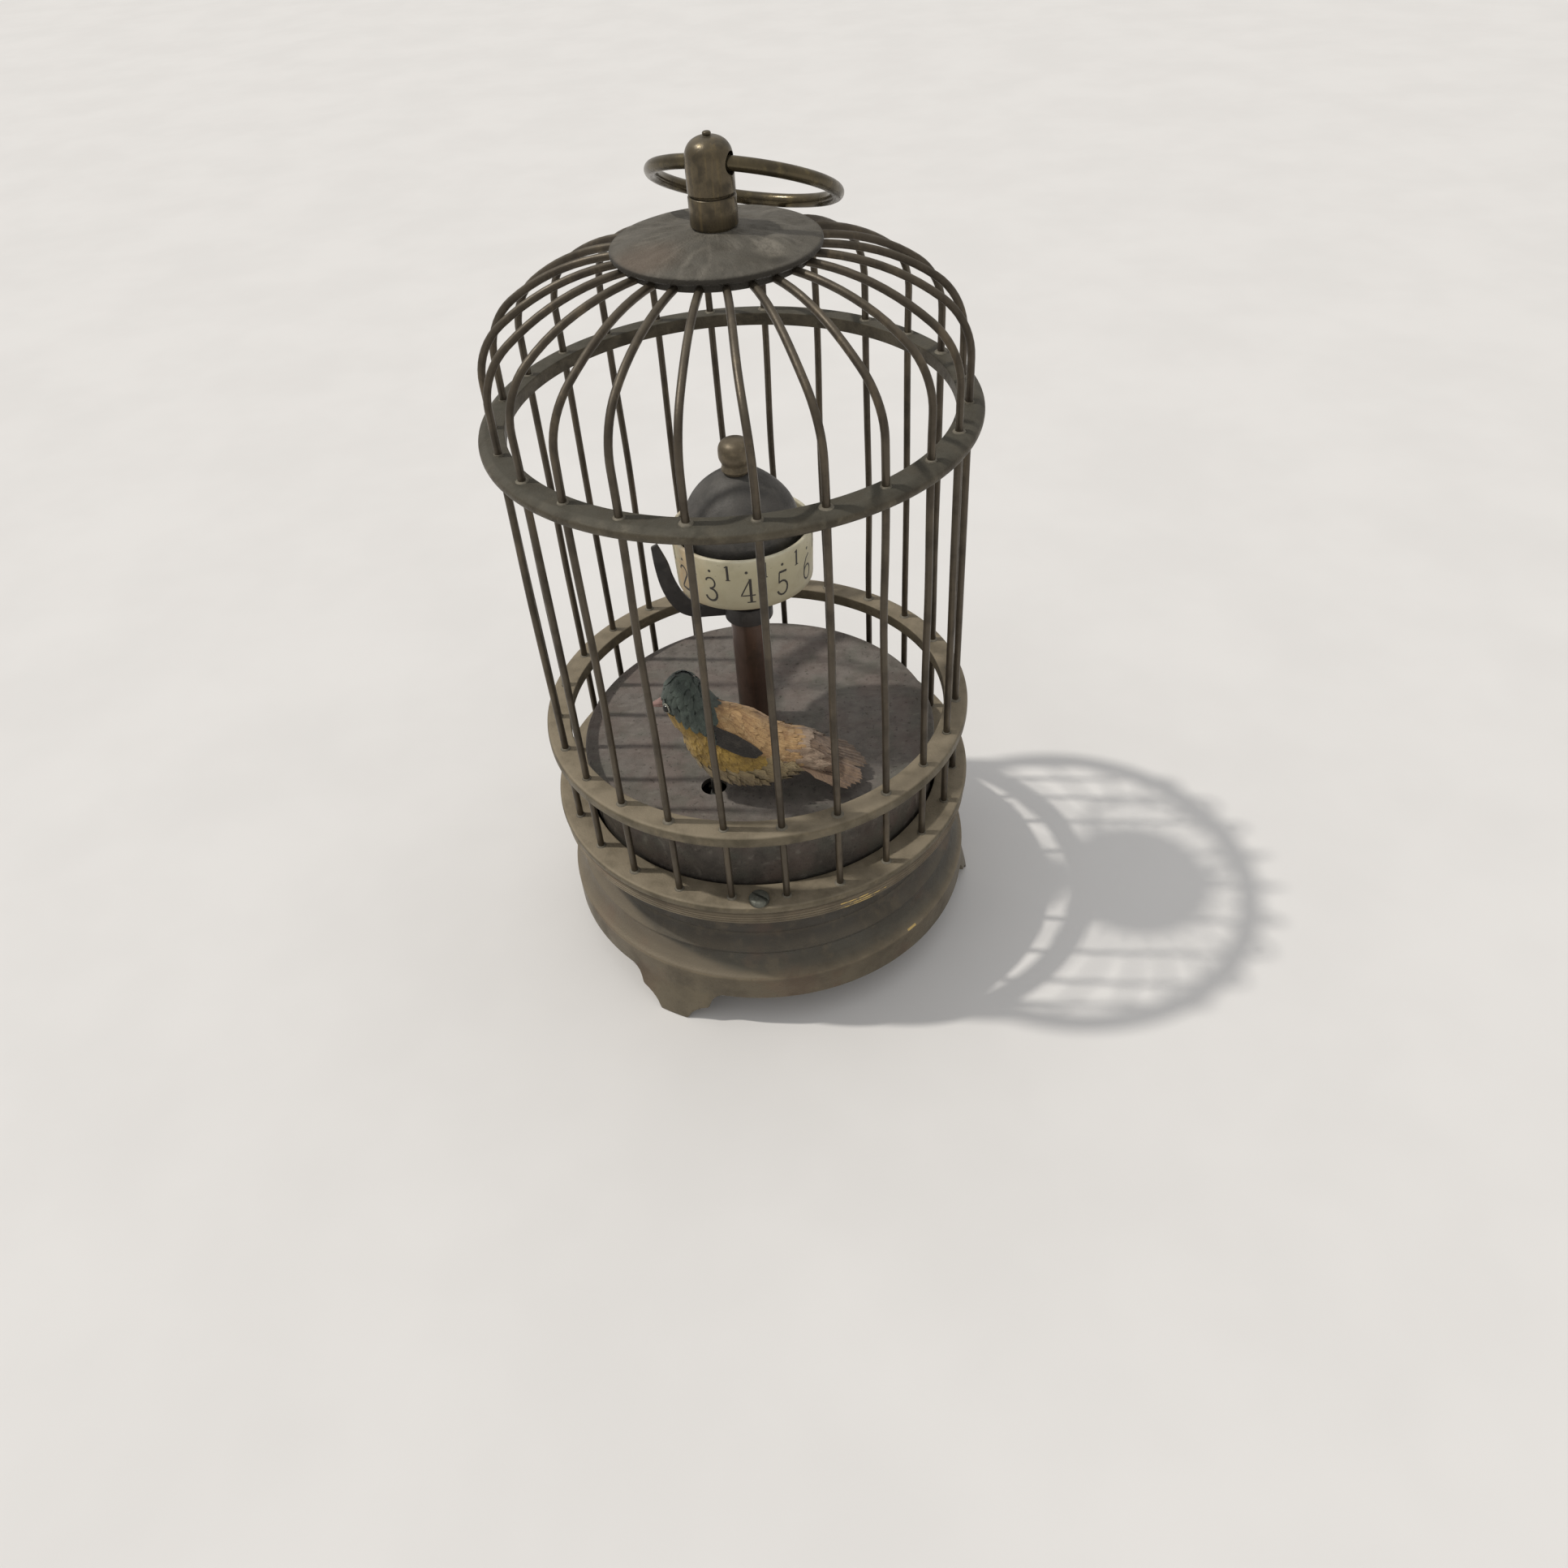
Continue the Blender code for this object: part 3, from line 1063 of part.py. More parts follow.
def make_balance():
    place = train_places()["balance"]
    staff = turned("balance_wheel", staff_outline(COCK_Z[1] + GAP, UPPER_PLATE_Z[0] - GAP, COCK_Z[0],
                                                  UPPER_PLATE_Z[1] - GAP), BRIGHT_BRASS, steps=8)
    rim = plate("balance_rim", circle(BALANCE_R, 24), *BALANCE_Z, BRIGHT_BRASS,
                spoke_windows(2.2, BALANCE_R - 1.3, 3, 0.5))
    for piece in (staff, rim):
        move(piece, place)
    fuse(staff, rim)


make_cage_wires()
make_rings()
make_flange_screws()
make_roof()
make_hub()
make_hub_cap()
make_carry_ring()
make_dial_post()
make_dial_arbor()
make_dial_band()
make_dial_dome()
make_dial_knob()
make_pointer()
make_bird()
make_drum()
make_base_casting()
make_bottom_cover()
make_plates()
make_springs()
make_winding()
make_click()
make_great_wheel()
make_train()
make_pallet()
make_balance()
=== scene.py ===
"""Looks of the birdcage clock with a rocking bird, built on its CAD frame.

Sizes are in millimetres and MM turns them to metres. Heights are from the table.
An azimuth of 0 is the front of the cage, where the bird is, and +90 is its right.
"""

import math
import random

import bpy
from mathutils import Matrix, Vector


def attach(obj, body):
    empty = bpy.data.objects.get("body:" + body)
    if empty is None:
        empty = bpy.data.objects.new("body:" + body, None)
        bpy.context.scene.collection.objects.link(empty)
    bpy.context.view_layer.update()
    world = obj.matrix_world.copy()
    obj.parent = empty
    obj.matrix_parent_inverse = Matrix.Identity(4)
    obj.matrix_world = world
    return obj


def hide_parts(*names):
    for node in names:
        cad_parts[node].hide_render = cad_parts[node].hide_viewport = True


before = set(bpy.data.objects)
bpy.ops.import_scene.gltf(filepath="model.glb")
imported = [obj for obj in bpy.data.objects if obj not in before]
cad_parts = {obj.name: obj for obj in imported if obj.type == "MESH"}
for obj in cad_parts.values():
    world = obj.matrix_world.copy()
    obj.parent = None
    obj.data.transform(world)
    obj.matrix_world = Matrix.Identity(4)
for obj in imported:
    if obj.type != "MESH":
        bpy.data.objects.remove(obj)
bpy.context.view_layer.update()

MM = 0.001
chance = random.Random(7)

# Sizes shared by several pieces, as in the CAD
WIRE_CIRCLE_R = 46.0
WIRE_R = 0.75
WIRE_FOOT_Z = 38.7
WIRE_AZIMUTHS = [7.5 + 15.0 * i for i in range(24)]
LOWER_RING_TOP = 40.2
MIDDLE_RING_TOP = 60.7
UPPER_RING_FOOT, UPPER_RING_TOP = 129.4, 132.2
BAND_FOOT, BAND_TOP = 93.3, 105.2
DRUM_FLOOR_Z = 51.5
BIRD_X, BIRD_Y = -9.8, -22.0
SKIRT_R = 49.2
FOOT_AZIMUTHS = (-27.0, 93.0, 213.0)


# Bench tools

def mm(*place):
    return Vector(place) * MM


def at_azimuth(radius, azimuth, height=0.0):
    turn = math.radians(azimuth)
    return (radius * math.sin(turn), -radius * math.cos(turn), height)


def facing(way):
    """Turns that stand a primitive's axis along a way."""
    return way.to_track_quat("Z", "Y").to_euler()


def read_off(value, table):
    """Value read off a table of (place, value) pairs, with straight lines between them."""
    if value <= table[0][0]:
        return table[0][1]
    for (near, low), (far, high) in zip(table, table[1:]):
        if value <= far:
            return low + (high - low) * (value - near) / (far - near)
    return table[-1][1]


def bump(distance, reach):
    """A smooth hill of height 1 that ends at reach."""
    share = min(abs(distance) / reach, 1.0)
    return (1.0 - share * share) ** 2


def pick(*pieces):
    if bpy.context.object and bpy.context.object.mode == "EDIT":
        bpy.ops.object.mode_set(mode="OBJECT")
    bpy.ops.object.select_all(action="DESELECT")
    for piece in pieces:
        piece.select_set(True)
        bpy.context.view_layer.objects.active = piece


def edit(piece):
    pick(piece)
    bpy.ops.object.mode_set(mode="EDIT")
    bpy.ops.mesh.select_all(action="SELECT")


def named(name):
    """Names the object at hand and puts its place in its mesh."""
    piece = bpy.context.object
    piece.name = name
    piece.data.name = name
    bpy.ops.object.transform_apply()
    return piece


def begin(name, add, **sizes):
    """Starts a piece from a primitive, added by its own operator."""
    pick()
    add(**sizes)
    return named(name)


def draw_line(name, points):
    """A chain of edges through the points, left in edit mode and selected."""
    piece = begin(name, bpy.ops.mesh.primitive_plane_add, size=MM, location=mm(*points[0]))
    edit(piece)
    bpy.ops.mesh.merge(type="CENTER")
    for near, far in zip(points, points[1:]):
        step = mm(*far) - mm(*near)
        bpy.ops.mesh.extrude_vertices_move(TRANSFORM_OT_translate={"value": step})
    bpy.ops.mesh.select_all(action="SELECT")
    return piece


def cut_sheet(name, outline, thick):
    """A flat sheet cut to an outline and given its thickness."""
    sheet = draw_line(name, [*outline, outline[0]])
    bpy.ops.mesh.remove_doubles(threshold=1e-6)
    bpy.ops.mesh.edge_face_add()
    bpy.ops.mesh.extrude_region_move(TRANSFORM_OT_translate={"value": thick})
    return sheet


def spin_rod(name, start, turn, sides, radius, arcs, rise=0.0, rises=0):
    """A rod drawn from a circle: straight up in rises, then along arcs of (steps, angle, centre, axis)."""
    rod = begin(name, bpy.ops.mesh.primitive_circle_add, vertices=sides, radius=radius * MM, location=start,
                rotation=turn)
    edit(rod)
    for _ in range(rises):
        bpy.ops.mesh.extrude_region_move(TRANSFORM_OT_translate={"value": mm(0.0, 0.0, rise / rises)})
    for steps, angle, centre, axis in arcs:
        bpy.ops.mesh.spin(steps=steps, angle=math.radians(angle), center=centre, axis=axis)
    bpy.ops.mesh.select_all(action="SELECT")
    bpy.ops.mesh.fill_holes(sides=0)
    return close_up(rod, 50.0)


def close_up(piece, crease=32.0):
    """Merges the seams, turns the faces outwards and smooths all but the sharp edges."""
    edit(piece)
    bpy.ops.mesh.remove_doubles(threshold=1e-6)
    bpy.ops.mesh.normals_make_consistent(inside=False)
    bpy.ops.object.mode_set(mode="OBJECT")
    bpy.ops.object.shade_smooth_by_angle(angle=math.radians(crease))
    return piece


def eased(corners):
    """An outline from corners (radius, height, ease), each rounded off in four steps over its ease."""
    points = []
    for i, corner in enumerate(corners):
        if len(corner) == 2:
            points.append(corner)
            continue
        spot = Vector(corner[:2])
        before = Vector(corners[i - 1][:2]) - spot
        after = Vector(corners[(i + 1) % len(corners)][:2]) - spot
        start = spot + before.normalized() * min(corner[2], before.length * 0.48)
        end = spot + after.normalized() * min(corner[2], after.length * 0.48)
        for share in (0.0, 0.25, 0.5, 0.75, 1.0):
            point = start * (1 - share) ** 2 + spot * 2 * share * (1 - share) + end * share ** 2
            points.append(tuple(point))
    return points


def turn_piece(name, corners, steps, centre=(0.0, 0.0), crease=32.0):
    """Turned on a lathe about the upright through centre, from corners (radius, height, ease)."""
    x, y = centre
    outline = eased(corners)
    points = [(x, y - radius, height) for radius, height in outline]
    if outline[0][0] > 0.0 or outline[-1][0] > 0.0:
        points.append(points[0])
    piece = draw_line(name, points)
    bpy.ops.mesh.spin(steps=steps, angle=math.tau, center=mm(x, y, 0.0), axis=(0.0, 0.0, 1.0))
    return close_up(piece, crease)


def curve_through(points, per):
    """A smooth curve through the points, with per steps between two of them."""
    known = [Vector(point) for point in points]
    fine = []
    for i in range(len(known) - 1):
        a, b, c, d = (known[min(max(i + k, 0), len(known) - 1)] for k in (-1, 0, 1, 2))
        for k in range(per):
            t = k / per
            fine.append(tuple(0.5 * (2 * b + (c - a) * t + (2 * a - 5 * b + 4 * c - d) * t ** 2
                                     + (3 * b - a - 3 * c + d) * t ** 3)))
    return [*fine, tuple(known[-1])]


def copies(piece, places):
    """Copies of a piece, each with its own mesh, set down by the matrices in places."""
    made = []
    for place in places:
        pick(piece)
        bpy.ops.object.duplicate(linked=False)
        twin = bpy.context.object
        twin.matrix_world = place
        made.append(twin)
    pick(piece)
    bpy.ops.object.delete()
    pick(*made)
    bpy.ops.object.transform_apply()
    return made


def join(name, pieces):
    pick(*pieces)
    bpy.ops.object.join()
    return named(name)


def cut_away(piece, cutter):
    """Takes the cutter's shape out of the piece."""
    pick(piece)
    tool = piece.modifiers.new("cut", "BOOLEAN")
    tool.operation = "DIFFERENCE"
    tool.solver = "EXACT"
    tool.object = cutter
    bpy.ops.object.modifier_apply(modifier="cut")
    pick(cutter)
    bpy.ops.object.delete()
    return close_up(piece)


def dent_depth(x, y, dents):
    """How far dents, each a middle, a reach and a depth, move a surface at (x, y)."""
    return sum(depth * bump(math.hypot(x - cx, y - cy), reach) for cx, cy, reach, depth in dents)


# Materials

def hex_colour(code):
    """Linear colour of an sRGB hex value."""
    parts = [int(code[i:i + 2], 16) / 255.0 for i in (1, 3, 5)]
    parts = [part / 12.92 if part <= 0.04045 else ((part + 0.055) / 1.055) ** 2.4 for part in parts]
    return (*parts, 1.0)


def plug_in(tree, node, sockets):
    """Sets a node's sockets: a node or socket is linked, a hex value becomes its colour."""
    for key, value in sockets.items():
        if isinstance(value, bpy.types.Node):
            value = value.outputs[0]
        if isinstance(value, bpy.types.NodeSocket):
            tree.links.new(value, node.inputs[key])
        else:
            node.inputs[key].default_value = hex_colour(value) if isinstance(value, str) else value
    return node


def add_node(tree, kind, sockets=None, **settings):
    """A node of that kind with its settings, its values and its links."""
    node = tree.nodes.new(kind)
    for key, value in settings.items():
        setattr(node, key, value)
    return plug_in(tree, node, sockets or {})


def new_material(name):
    """An empty material with its tree, its shader and its coordinates."""
    material = bpy.data.materials.new(name)
    material.use_nodes = True
    tree = material.node_tree
    return material, tree, tree.nodes["Principled BSDF"], add_node(tree, "ShaderNodeTexCoord")


def speckle(tree, place, size, low, high, detail=3.0, stretch=None):
    """Noise of a size in mm, spread so that low and high of it become 0 and 1."""
    if stretch:
        place = add_node(tree, "ShaderNodeMapping", {"Vector": place, "Scale": stretch})
    noise = add_node(tree, "ShaderNodeTexNoise", {"Vector": place, "Scale": 1000.0 / size,
                                                  "Detail": detail, "Roughness": 0.6})
    return add_node(tree, "ShaderNodeMapRange", {"Value": noise, "From Min": low, "From Max": high},
                    interpolation_type="SMOOTHSTEP")


def coats(tree, colour, *layers):
    """Coats laid over a colour: each a hex colour and one or more shares, which are multiplied."""
    for code, share, *more in layers:
        for factor in more:
            share = add_node(tree, "ShaderNodeMath", {0: share, 1: factor}, operation="MULTIPLY")
        colour = add_node(tree, "ShaderNodeMixRGB", {"Fac": share, "Color1": colour, "Color2": code})
    return colour


def banded(tree, value, bands):
    """Colours that run into each other along a value: each band is a place in mm and a hex colour."""
    low, high = bands[0][0], bands[-1][0]
    share = add_node(tree, "ShaderNodeMapRange", {"Value": value, "From Min": low * MM,
                                                  "From Max": high * MM})
    ramp = add_node(tree, "ShaderNodeValToRGB", {"Fac": share})
    elements = ramp.color_ramp.elements
    while len(elements) < len(bands):
        elements.new(0.5)
    for element, (place, code) in zip(elements, bands):
        element.position = (place - low) / (high - low)
        element.color = hex_colour(code)
    return ramp


def patina(name, mid, dark, light, dust, mottle=8.0, streak=None, dusting=0.5, metallic=0.6,
           rough=(0.46, 0.62), relief=0.03, bands=None, marks=None, scuffs=None, blotches=0.75, rubs=0.55):
    """Old brass: a brown oxide skin in blotches, rubbed lighter places, dark pits and dust on top."""
    material, tree, shader, coords = new_material(name)
    place = coords.outputs["Object"]
    if bands:
        height = add_node(tree, "ShaderNodeSeparateXYZ", {"Vector": place}).outputs["Z"]
        mid = banded(tree, height, bands)
    blotch = speckle(tree, place, mottle, 0.40, 0.68, detail=5.0)
    rubbed = speckle(tree, place, mottle * 0.45, 0.50, 0.74, detail=4.0, stretch=streak)
    pits = speckle(tree, place, 0.9, 0.60, 0.74)
    fine = speckle(tree, place, 0.45, 0.30, 0.70, stretch=streak)
    colour = coats(tree, mid, (dark, blotch, blotches), (light, rubbed, rubs), (dark, pits, 0.45))
    if marks:
        colour = marks(tree, place, colour)
    facing = add_node(tree, "ShaderNodeSeparateXYZ", {"Vector": coords.outputs["Normal"]}).outputs["Z"]
    upward = add_node(tree, "ShaderNodeMapRange", {"Value": facing, "From Min": 0.35, "From Max": 0.95,
                                                   "To Max": dusting}, interpolation_type="SMOOTHSTEP")
    patches = add_node(tree, "ShaderNodeMapRange", {"Value": speckle(tree, place, mottle * 0.7, 0.3, 0.62),
                                                    "To Min": 0.55})
    dusty = add_node(tree, "ShaderNodeMath", {0: upward, 1: patches}, operation="MULTIPLY")
    colour = coats(tree, colour, (dust, dusty))
    if scuffs:
        colour = scuffs(tree, place, colour)
    bare = add_node(tree, "ShaderNodeMapRange", {"Value": dusty, "To Min": metallic,
                                                 "To Max": metallic * 0.3})
    gloss = add_node(tree, "ShaderNodeMapRange", {"Value": blotch, "To Min": rough[0], "To Max": rough[1]})
    dull = add_node(tree, "ShaderNodeMath", {0: dusty, 1: 0.35, 2: gloss}, operation="MULTIPLY_ADD")
    surface = add_node(tree, "ShaderNodeMath", {0: pits, 1: -0.8, 2: fine}, operation="MULTIPLY_ADD")
    lift = add_node(tree, "ShaderNodeBump", {"Height": surface, "Distance": relief * MM})
    plug_in(tree, shader, {"Base Color": colour, "Metallic": bare, "Roughness": dull, "Normal": lift})
    return material


# Middle and half width in degrees, and lower and upper edge in mm, of each scratch; the last, on the skirt's
# top edge, is a painted glint
SCRATCHES_AND_GLINT = ((25.0, 4.0, 36.4, 36.75), (29.0, 5.5, 35.65, 36.0), (26.0, 5.0, 35.0, 35.35),
             (30.0, 4.0, 34.5, 34.9), (27.0, 3.0, 34.0, 34.3), (44.0, 1.6, 16.0, 16.5))


def scratched_bead(tree, place, colour):
    """Painted light on the left shoulder, bright scratches on the bead at the right front, a painted glint on
    the skirt's edge, a red cast.
    """
    x, y, z = add_node(tree, "ShaderNodeSeparateXYZ", {"Vector": place}).outputs
    front = add_node(tree, "ShaderNodeMath", {0: y, 1: -1.0}, operation="MULTIPLY")
    angle = add_node(tree, "ShaderNodeMath", {0: x, 1: front}, operation="ARCTAN2")
    lean = add_node(tree, "ShaderNodeMath", {0: angle, 1: 12.2 * MM, 2: z}, operation="MULTIPLY_ADD")
    shoulder = add_node(tree, "ShaderNodeMapRange", {"Value": lean, "From Min": 16.6 * MM,
                                                     "From Max": 14.4 * MM}, interpolation_type="SMOOTHSTEP")
    cove = add_node(tree, "ShaderNodeMath", {0: z, 1: 24.8 * MM, 2: 8.6 * MM}, operation="COMPARE")
    broken = speckle(tree, place, 1.8, 0.38, 0.50, stretch=(1.0, 1.0, 3.0))
    # Painted light: the left shoulder, which faces the lamp, is coloured paler.
    colour = coats(tree, colour, ("#6f6555", shoulder, cove, 0.8))
    # Bright scratches on the bead; the last band is a painted glint on the skirt's edge.
    for centre, half, low, high in SCRATCHES_AND_GLINT:
        middle, reach = math.radians(centre), math.radians(half)
        height, edge = (low + high) / 2 * MM, (high - low) / 2 * MM
        off = add_node(tree, "ShaderNodeMath", {0: angle, 1: middle, 2: reach}, operation="COMPARE")
        rise = add_node(tree, "ShaderNodeMath", {0: z, 1: height, 2: edge}, operation="COMPARE")
        colour = coats(tree, colour, ("#cbae6b", off, rise, broken))
    return coats(tree, colour, ("#6b4e3e", speckle(tree, place, 13.0, 0.50, 0.66), 0.22))


def smeared_roof(tree, place, colour):
    """Smears down the cone, painted shade in a dent at the right front and at the rim, and dust round the
    hub's foot.
    """
    flat = add_node(tree, "ShaderNodeVectorMath", {0: place, 1: (1.0, 1.0, 0.0)}, operation="MULTIPLY")
    length = add_node(tree, "ShaderNodeVectorMath", {0: flat}, operation="LENGTH").outputs["Value"]
    way = add_node(tree, "ShaderNodeVectorMath", {0: flat}, operation="NORMALIZE")
    way = add_node(tree, "ShaderNodeVectorMath", {0: way, 1: mm(12.0, 12.0, 0.0)}, operation="MULTIPLY")
    down = add_node(tree, "ShaderNodeMath", {0: length, 1: 0.22}, operation="MULTIPLY")
    down = add_node(tree, "ShaderNodeCombineXYZ", {"Z": down})
    smear = add_node(tree, "ShaderNodeVectorMath", {0: way, 1: down}, operation="ADD")
    colour = coats(tree, colour, ("#7f796e", speckle(tree, smear, 1.7, 0.48, 0.70), 0.45),
                   ("#45413a", speckle(tree, smear, 1.1, 0.55, 0.75), 0.4))
    broken = speckle(tree, place, 1.0, 0.30, 0.66, detail=6.0)
    # Middle, reach, colour and shares of a brown stain, painted shade in the dent, a paler patch on its ridge
    # and the hub's foot
    spots = ((-12.0, -10.0, 9.0, "#6b5746", 0.4), (8.5, -13.0, 6.0, "#494439", 0.6),
             (9.5, -8.0, 4.2, "#9a9385", broken, 0.45), (0.0, 0.0, 6.6, "#958e81", broken, 0.65))
    for x, y, reach, code, *shares in spots:
        away = add_node(tree, "ShaderNodeVectorMath", {0: flat, 1: mm(x, y, 0.0)}, operation="DISTANCE")
        sizes = {"Value": away.outputs["Value"], "From Min": reach * MM, "From Max": reach * 0.25 * MM}
        near = add_node(tree, "ShaderNodeMapRange", sizes, interpolation_type="SMOOTHSTEP")
        colour = coats(tree, colour, (code, near, *shares))
    # Painted shade: the rim's edge and the flange under it are coloured dark.
    height = add_node(tree, "ShaderNodeSeparateXYZ", {"Vector": place}).outputs["Z"]
    rim = add_node(tree, "ShaderNodeMapRange", {"Value": height, "From Min": 162.75 * MM,
                                                "From Max": 162.35 * MM})
    return coats(tree, colour, ("#35312a", rim))


def scuffed_floor(tree, place, colour):
    """Pink and green casts in the brown, fine dark specks and pale rubs on the drum's floor."""
    rubs = speckle(tree, place, 3.2, 0.54, 0.70, detail=6.0, stretch=(1.0, 2.4, 1.0))
    return coats(tree, colour, ("#6c5a52", speckle(tree, place, 14.0, 0.42, 0.62), 0.35),
                 ("#5b5d52", speckle(tree, place, 9.0, 0.46, 0.64), 0.4), ("#857f75", rubs, 0.4),
                 ("#38342e", speckle(tree, place, 1.1, 0.60, 0.70), 0.6))


def dial_enamel():
    """Cream paint on tin: dull and yellowed, darker in painted shade at its foot, paler at the lip, with an
    orange stain on its left.
    """
    material, tree, shader, coords = new_material("yellowed_cream_enamel")
    place = coords.outputs["Object"]
    x, _, z = add_node(tree, "ShaderNodeSeparateXYZ", {"Vector": place}).outputs
    # Painted shade: the cream darkens towards the band's foot; it pales towards the lip.
    cream = banded(tree, z, [(93.3, "#90866d"), (94.51, "#a89f84"), (102.375, "#b3aa8b"),
                             (104.553, "#beb699"), (105.4, "#d1cab3")])
    left = add_node(tree, "ShaderNodeMapRange", {"Value": x, "From Min": -5.0 * MM, "From Max": -14.0 * MM},
                    interpolation_type="SMOOTHSTEP")
    colour = coats(tree, cream, ("#b98f5c", left, speckle(tree, place, 6.0, 0.36, 0.60), 0.5),
                   ("#94896c", speckle(tree, place, 4.0, 0.42, 0.7), 0.35),
                   ("#5f5645", speckle(tree, place, 0.7, 0.66, 0.74), 0.6))
    gloss = add_node(tree, "ShaderNodeMapRange", {"Value": speckle(tree, place, 3.0, 0.3, 0.7),
                                                  "To Min": 0.42, "To Max": 0.6})
    grain = speckle(tree, place, 1.2, 0.3, 0.7)
    lift = add_node(tree, "ShaderNodeBump", {"Height": grain, "Distance": 0.02 * MM})
    plug_in(tree, shader, {"Base Color": colour, "Roughness": gloss, "Normal": lift})
    return material


def dial_ink():
    """Black printing gone brown, thin in places."""
    material, tree, shader, coords = new_material("brown_black_print")
    worn = speckle(tree, coords.outputs["Object"], 0.8, 0.56, 0.74)
    plug_in(tree, shader, {"Base Color": coats(tree, "#2f2a25", ("#655b49", worn, 0.4)), "Roughness": 0.55})
    return material


def eye_glass():
    """A glass bead, black and glossy, with a film of dust."""
    material, tree, shader, coords = new_material("black_glass_bead")
    film = speckle(tree, coords.outputs["Object"], 0.4, 0.5, 0.75)
    plug_in(tree, shader, {"Base Color": coats(tree, "#15130f", ("#4c4a44", film, 0.3)), "Roughness": 0.14,
                           "IOR": 1.5})
    return material


def beak_horn():
    """Painted horn, pink and dull, darker to the tip."""
    material, tree, shader, coords = new_material("pink_painted_horn")
    place = coords.outputs["Object"]
    along = add_node(tree, "ShaderNodeSeparateXYZ", {"Vector": place}).outputs["X"]
    pink = banded(tree, along, [(-22.0, "#6f5650"), (-20.2, "#94746c"), (-18.0, "#85685f")])
    colour = coats(tree, pink, ("#5d4a44", speckle(tree, place, 0.8, 0.45, 0.7), 0.4))
    plug_in(tree, shader, {"Base Color": colour, "Roughness": 0.5})
    return material


def plumage(name, root, tip, dark, pale, shaft=0.55):
    """Dyed feather: fine barbs slant off a quill, the vane lightens to its tip, and each tuft differs."""
    material, tree, shader, coords = new_material(name)
    place = coords.outputs["Object"]
    along, across, _ = add_node(tree, "ShaderNodeSeparateXYZ", {"Vector": coords.outputs["UV"]}).outputs
    off = add_node(tree, "ShaderNodeMath", {0: across, 1: 0.5}, operation="SUBTRACT")
    off = add_node(tree, "ShaderNodeMath", {0: off}, operation="ABSOLUTE")
    slant = add_node(tree, "ShaderNodeMath", {0: off, 1: -0.5, 2: along}, operation="MULTIPLY_ADD")
    # About eleven barbs show on a feather; the real ones are several times finer.
    ripple = add_node(tree, "ShaderNodeMath", {0: slant, 1: math.tau * 11.0}, operation="MULTIPLY")
    ripple = add_node(tree, "ShaderNodeMath", {0: ripple}, operation="SINE")
    barbs = add_node(tree, "ShaderNodeMapRange", {"Value": ripple, "From Min": -1.0})
    quill = add_node(tree, "ShaderNodeMapRange", {"Value": off, "From Max": 0.07, "To Min": shaft,
                                                  "To Max": 0.0})
    colour = coats(tree, root, (tip, along), (dark, speckle(tree, place, 3.0, 0.42, 0.66), 0.6),
                   (pale, speckle(tree, place, 1.8, 0.52, 0.72), 0.5), (dark, barbs, 0.28), (dark, quill))
    lift = add_node(tree, "ShaderNodeBump", {"Height": barbs, "Distance": 0.05 * MM})
    plug_in(tree, shader, {"Base Color": colour, "Roughness": 0.78, "Sheen Weight": 0.12,
                           "Sheen Roughness": 0.5, "Normal": lift})
    return material


